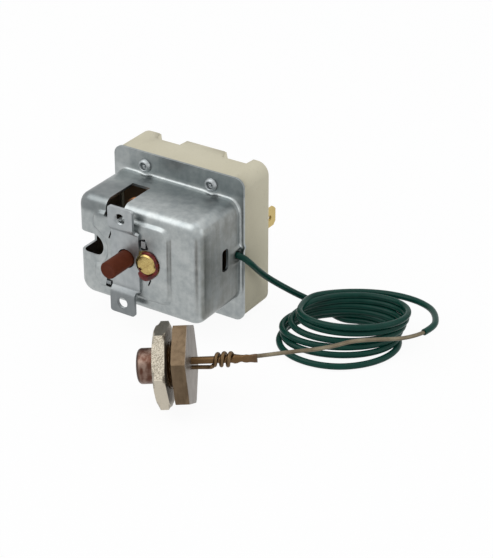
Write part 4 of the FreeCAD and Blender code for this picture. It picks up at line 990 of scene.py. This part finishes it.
def coil_route(turns=5.75, steps=16):
    """Loose oval turns from the back, clockwise from above: each reach glides from one turn to the next."""
    turn = np.arange(round(turns * steps) + 1) / steps

    def glide(reaches, start):
        """Values that start at one turn and come once a turn, with straight runs between them."""
        return np.interp(turn, start + np.arange(len(reaches)), reaches)

    angle = np.pi / 2 - 2 * np.pi * turn
    right, left = glide(TURN_RIGHT, 0.25), glide(TURN_LEFT, 0.75)
    front, back = glide(TURN_FRONT, 0.5), glide(TURN_BACK, 0)
    behind = 0.5 + 0.5 * np.sin(angle)
    across = (right + left) / 2 + (right - left) / 2 * np.cos(angle)
    across = across + glide(FRONT_SHIFT, 0.5) * (1 - behind)
    away = (front + back) / 2 + (back - front) / 2 * np.sin(angle)
    level = glide(FRONT_LEVEL, 0.5) * (1 - behind) + glide(BACK_LEVEL, 0) * behind
    place = COIL_MIDDLE + across[:, None] * VIEW_RIGHT + away[:, None] * VIEW_AWAY
    return np.column_stack([place, level]).tolist()


# Middle of the capillary's exit in the cup's wall, the sleeve's open end and the run of the bare tube there
EXIT = np.array([HOUSING_X + COVER_HALF_WIDE - SHEET_THICK, 22.925, -0.3])
TAIL_END = np.array([84.8, 31.7, -12.6])
TAIL_RUN = np.array([-1.2, -5.2, 0.4])


def sleeved_capillary():
    """Green sleeve: from the cup's wall down to the coil, round it and over its back to the open end."""
    lead = [
        EXIT, EXIT + (2.7, 0.2, -0.45), (29.6, 25.0, -3.3), (30.2, 28.6, -7.4), (31.7, 32.3, -11.3),
        (34.8, 35.8, -14.9), (38.6, 38.8, -18.0), (43.5, 42.0, -20.9),
    ]
    tail = [
        (44.4, 34.1, -14.3), (47.6, 40.2, -14.9), (53.8, 45.9, -15.2), (61.1, 49.4, -15.1),
        (68.2, 50.1, -14.6), (74.7, 48.9, -14.0), (80.4, 45.9, -13.5), (84.6, 39.8, -13.0),
        (85.4, 35.4, -12.8), TAIL_END,
    ]
    piece = strand("sleeve", lead + coil_route() + tail, SLEEVE_R)
    dress(piece, "green_sleeve", replaced=["sleeve_lead", "sleeve_coil", "sleeve_tail"])


def bare_capillary():
    """Bare tube from the sleeve's end to the gland, wound round the filling tube and led into the hexagon."""
    turns, steps_to_turn, winding_r = 2.75, 14, 1.66
    steps = round(turns * steps_to_turn)
    start, end = 15.6, 10.5
    winding = []
    for step in range(steps + 1):
        share = step / steps
        angle = 2 * math.pi * turns * share
        radius = winding_r + 0.12 * math.sin(5 * share)
        winding.append(on_gland(
            start + (end - start) * share, radius * math.cos(angle), FILLER_LIFT + radius * math.sin(angle),
        ))
    route = [
        TAIL_END, TAIL_END + TAIL_RUN * 1.2, (75.9, 17.1, -10.6), (71.6, 12.0, -10.1), (69.6, 7.2, -9.8),
        (66.2, 1.5, -9.3), (61.6, -4.6, -8.5), on_gland(FILLER_END, 1.5, 0.95), on_gland(18.8, 1.45, 0.8),
        *winding, on_gland(9.7, -0.7, -0.75), on_gland(8.4, -0.2, -1.0), on_gland(5.2, 0, -1.0),
        on_gland(FILLER_START, 0, -1.0),
    ]
    piece = strand("capillary", route, CAPILLARY_R)
    dress(piece, "pale_copper", replaced=["bare_capillary", "capillary_winding", "capillary_stub"])


def finish_nodes():
    """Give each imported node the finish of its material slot, and three of them a finish of their own."""
    slots = {part["node"]: part["material_slot"] for part in frame["record"]["subparts"]}
    slots.update(adjusting_screw="screw_brass", inner_frame="bright_zinc", inner_capillary="warm_copper")
    for name, piece in NODES.items():
        piece.data.materials.clear()
        piece.data.materials.append(FINISHES[slots[name]])


def seen_directly(tree):
    """Output that is 1 for what the camera, a reflection or a glass shows."""
    rays = tree.nodes.new("ShaderNodeLightPath")
    total = rays.outputs["Is Camera Ray"]
    for kind in ("Is Glossy Ray", "Is Transmission Ray"):
        both = tree.nodes.new("ShaderNodeMath")
        both.operation = "MAXIMUM"
        tree.links.new(total, both.inputs[0])
        tree.links.new(rays.outputs[kind], both.inputs[1])
        total = both.outputs[0]
    return total


def studio():
    """White floor and world, a wide soft lamp above on the left and weaker ones above and on the right."""
    level, half, glow_share = GROUND - 0.02, 4000, 0.94
    floor = mesh_piece("floor", [
        (-half, -half, level), (half, -half, level), (half, half, level), (-half, half, level),
    ], np.array([[0, 1, 2, 3]]), merge=False, outward=False)
    paper = Finish("paper", Roughness=0.9)
    paper.feed("Base Color", paper.mix(paper.noise(40), shade(244, 244, 244), shade(250, 250, 250)))
    glow = paper.add("ShaderNodeEmission", {}, {"Color": (1, 1, 1, 1), "Strength": 1.0})
    glowing = Value(paper, seen_directly(paper.tree)) * glow_share
    both = paper.add("ShaderNodeMixShader", {}, {0: glowing, 1: paper.shader.outputs[0], 2: glow.outputs[0]})
    out = paper.tree.nodes["Material Output"]
    paper.tree.links.new(both.outputs[0], out.inputs["Surface"])
    floor.data.materials.append(paper.material)

    world = bpy.data.worlds.new("room")
    bpy.context.scene.world = world
    world.use_nodes = True
    nodes, links = world.node_tree.nodes, world.node_tree.links
    room = nodes["Background"]
    room.inputs["Color"].default_value = (0.9, 0.92, 0.95, 1)
    room.inputs["Strength"].default_value = 0.5
    white = nodes.new("ShaderNodeBackground")
    white.inputs["Color"].default_value = (1, 1, 1, 1)
    white.inputs["Strength"].default_value = 1.0
    either = nodes.new("ShaderNodeMixShader")
    for socket, output in enumerate((seen_directly(world.node_tree), room.outputs[0], white.outputs[0])):
        links.new(output, either.inputs[socket])
    links.new(either.outputs[0], nodes["World Output"].inputs["Surface"])

    for name, (place, size, power) in LAMPS.items():
        light = bpy.data.lights.new(name, "AREA")
        light.size = size
        light.energy = power
        lamp = placed(name, light)
        lamp.location = place
        towards = Vector(LAMP_TARGET) - Vector(place)
        lamp.rotation_euler = towards.to_track_quat("-Z", "Y").to_euler()


bpy.context.scene.view_settings.view_transform = "Standard"
point_camera()
sleeved_capillary()
filler = filler_tube()
gland_pieces = gland()
bare_capillary()
finish_nodes()
cover_sheet()
ceramic_block()
springs()
slot_leaf()
bracket_strip()
ear_threads()
reset_button()
rivets()
lacquer_blobs()
studio()
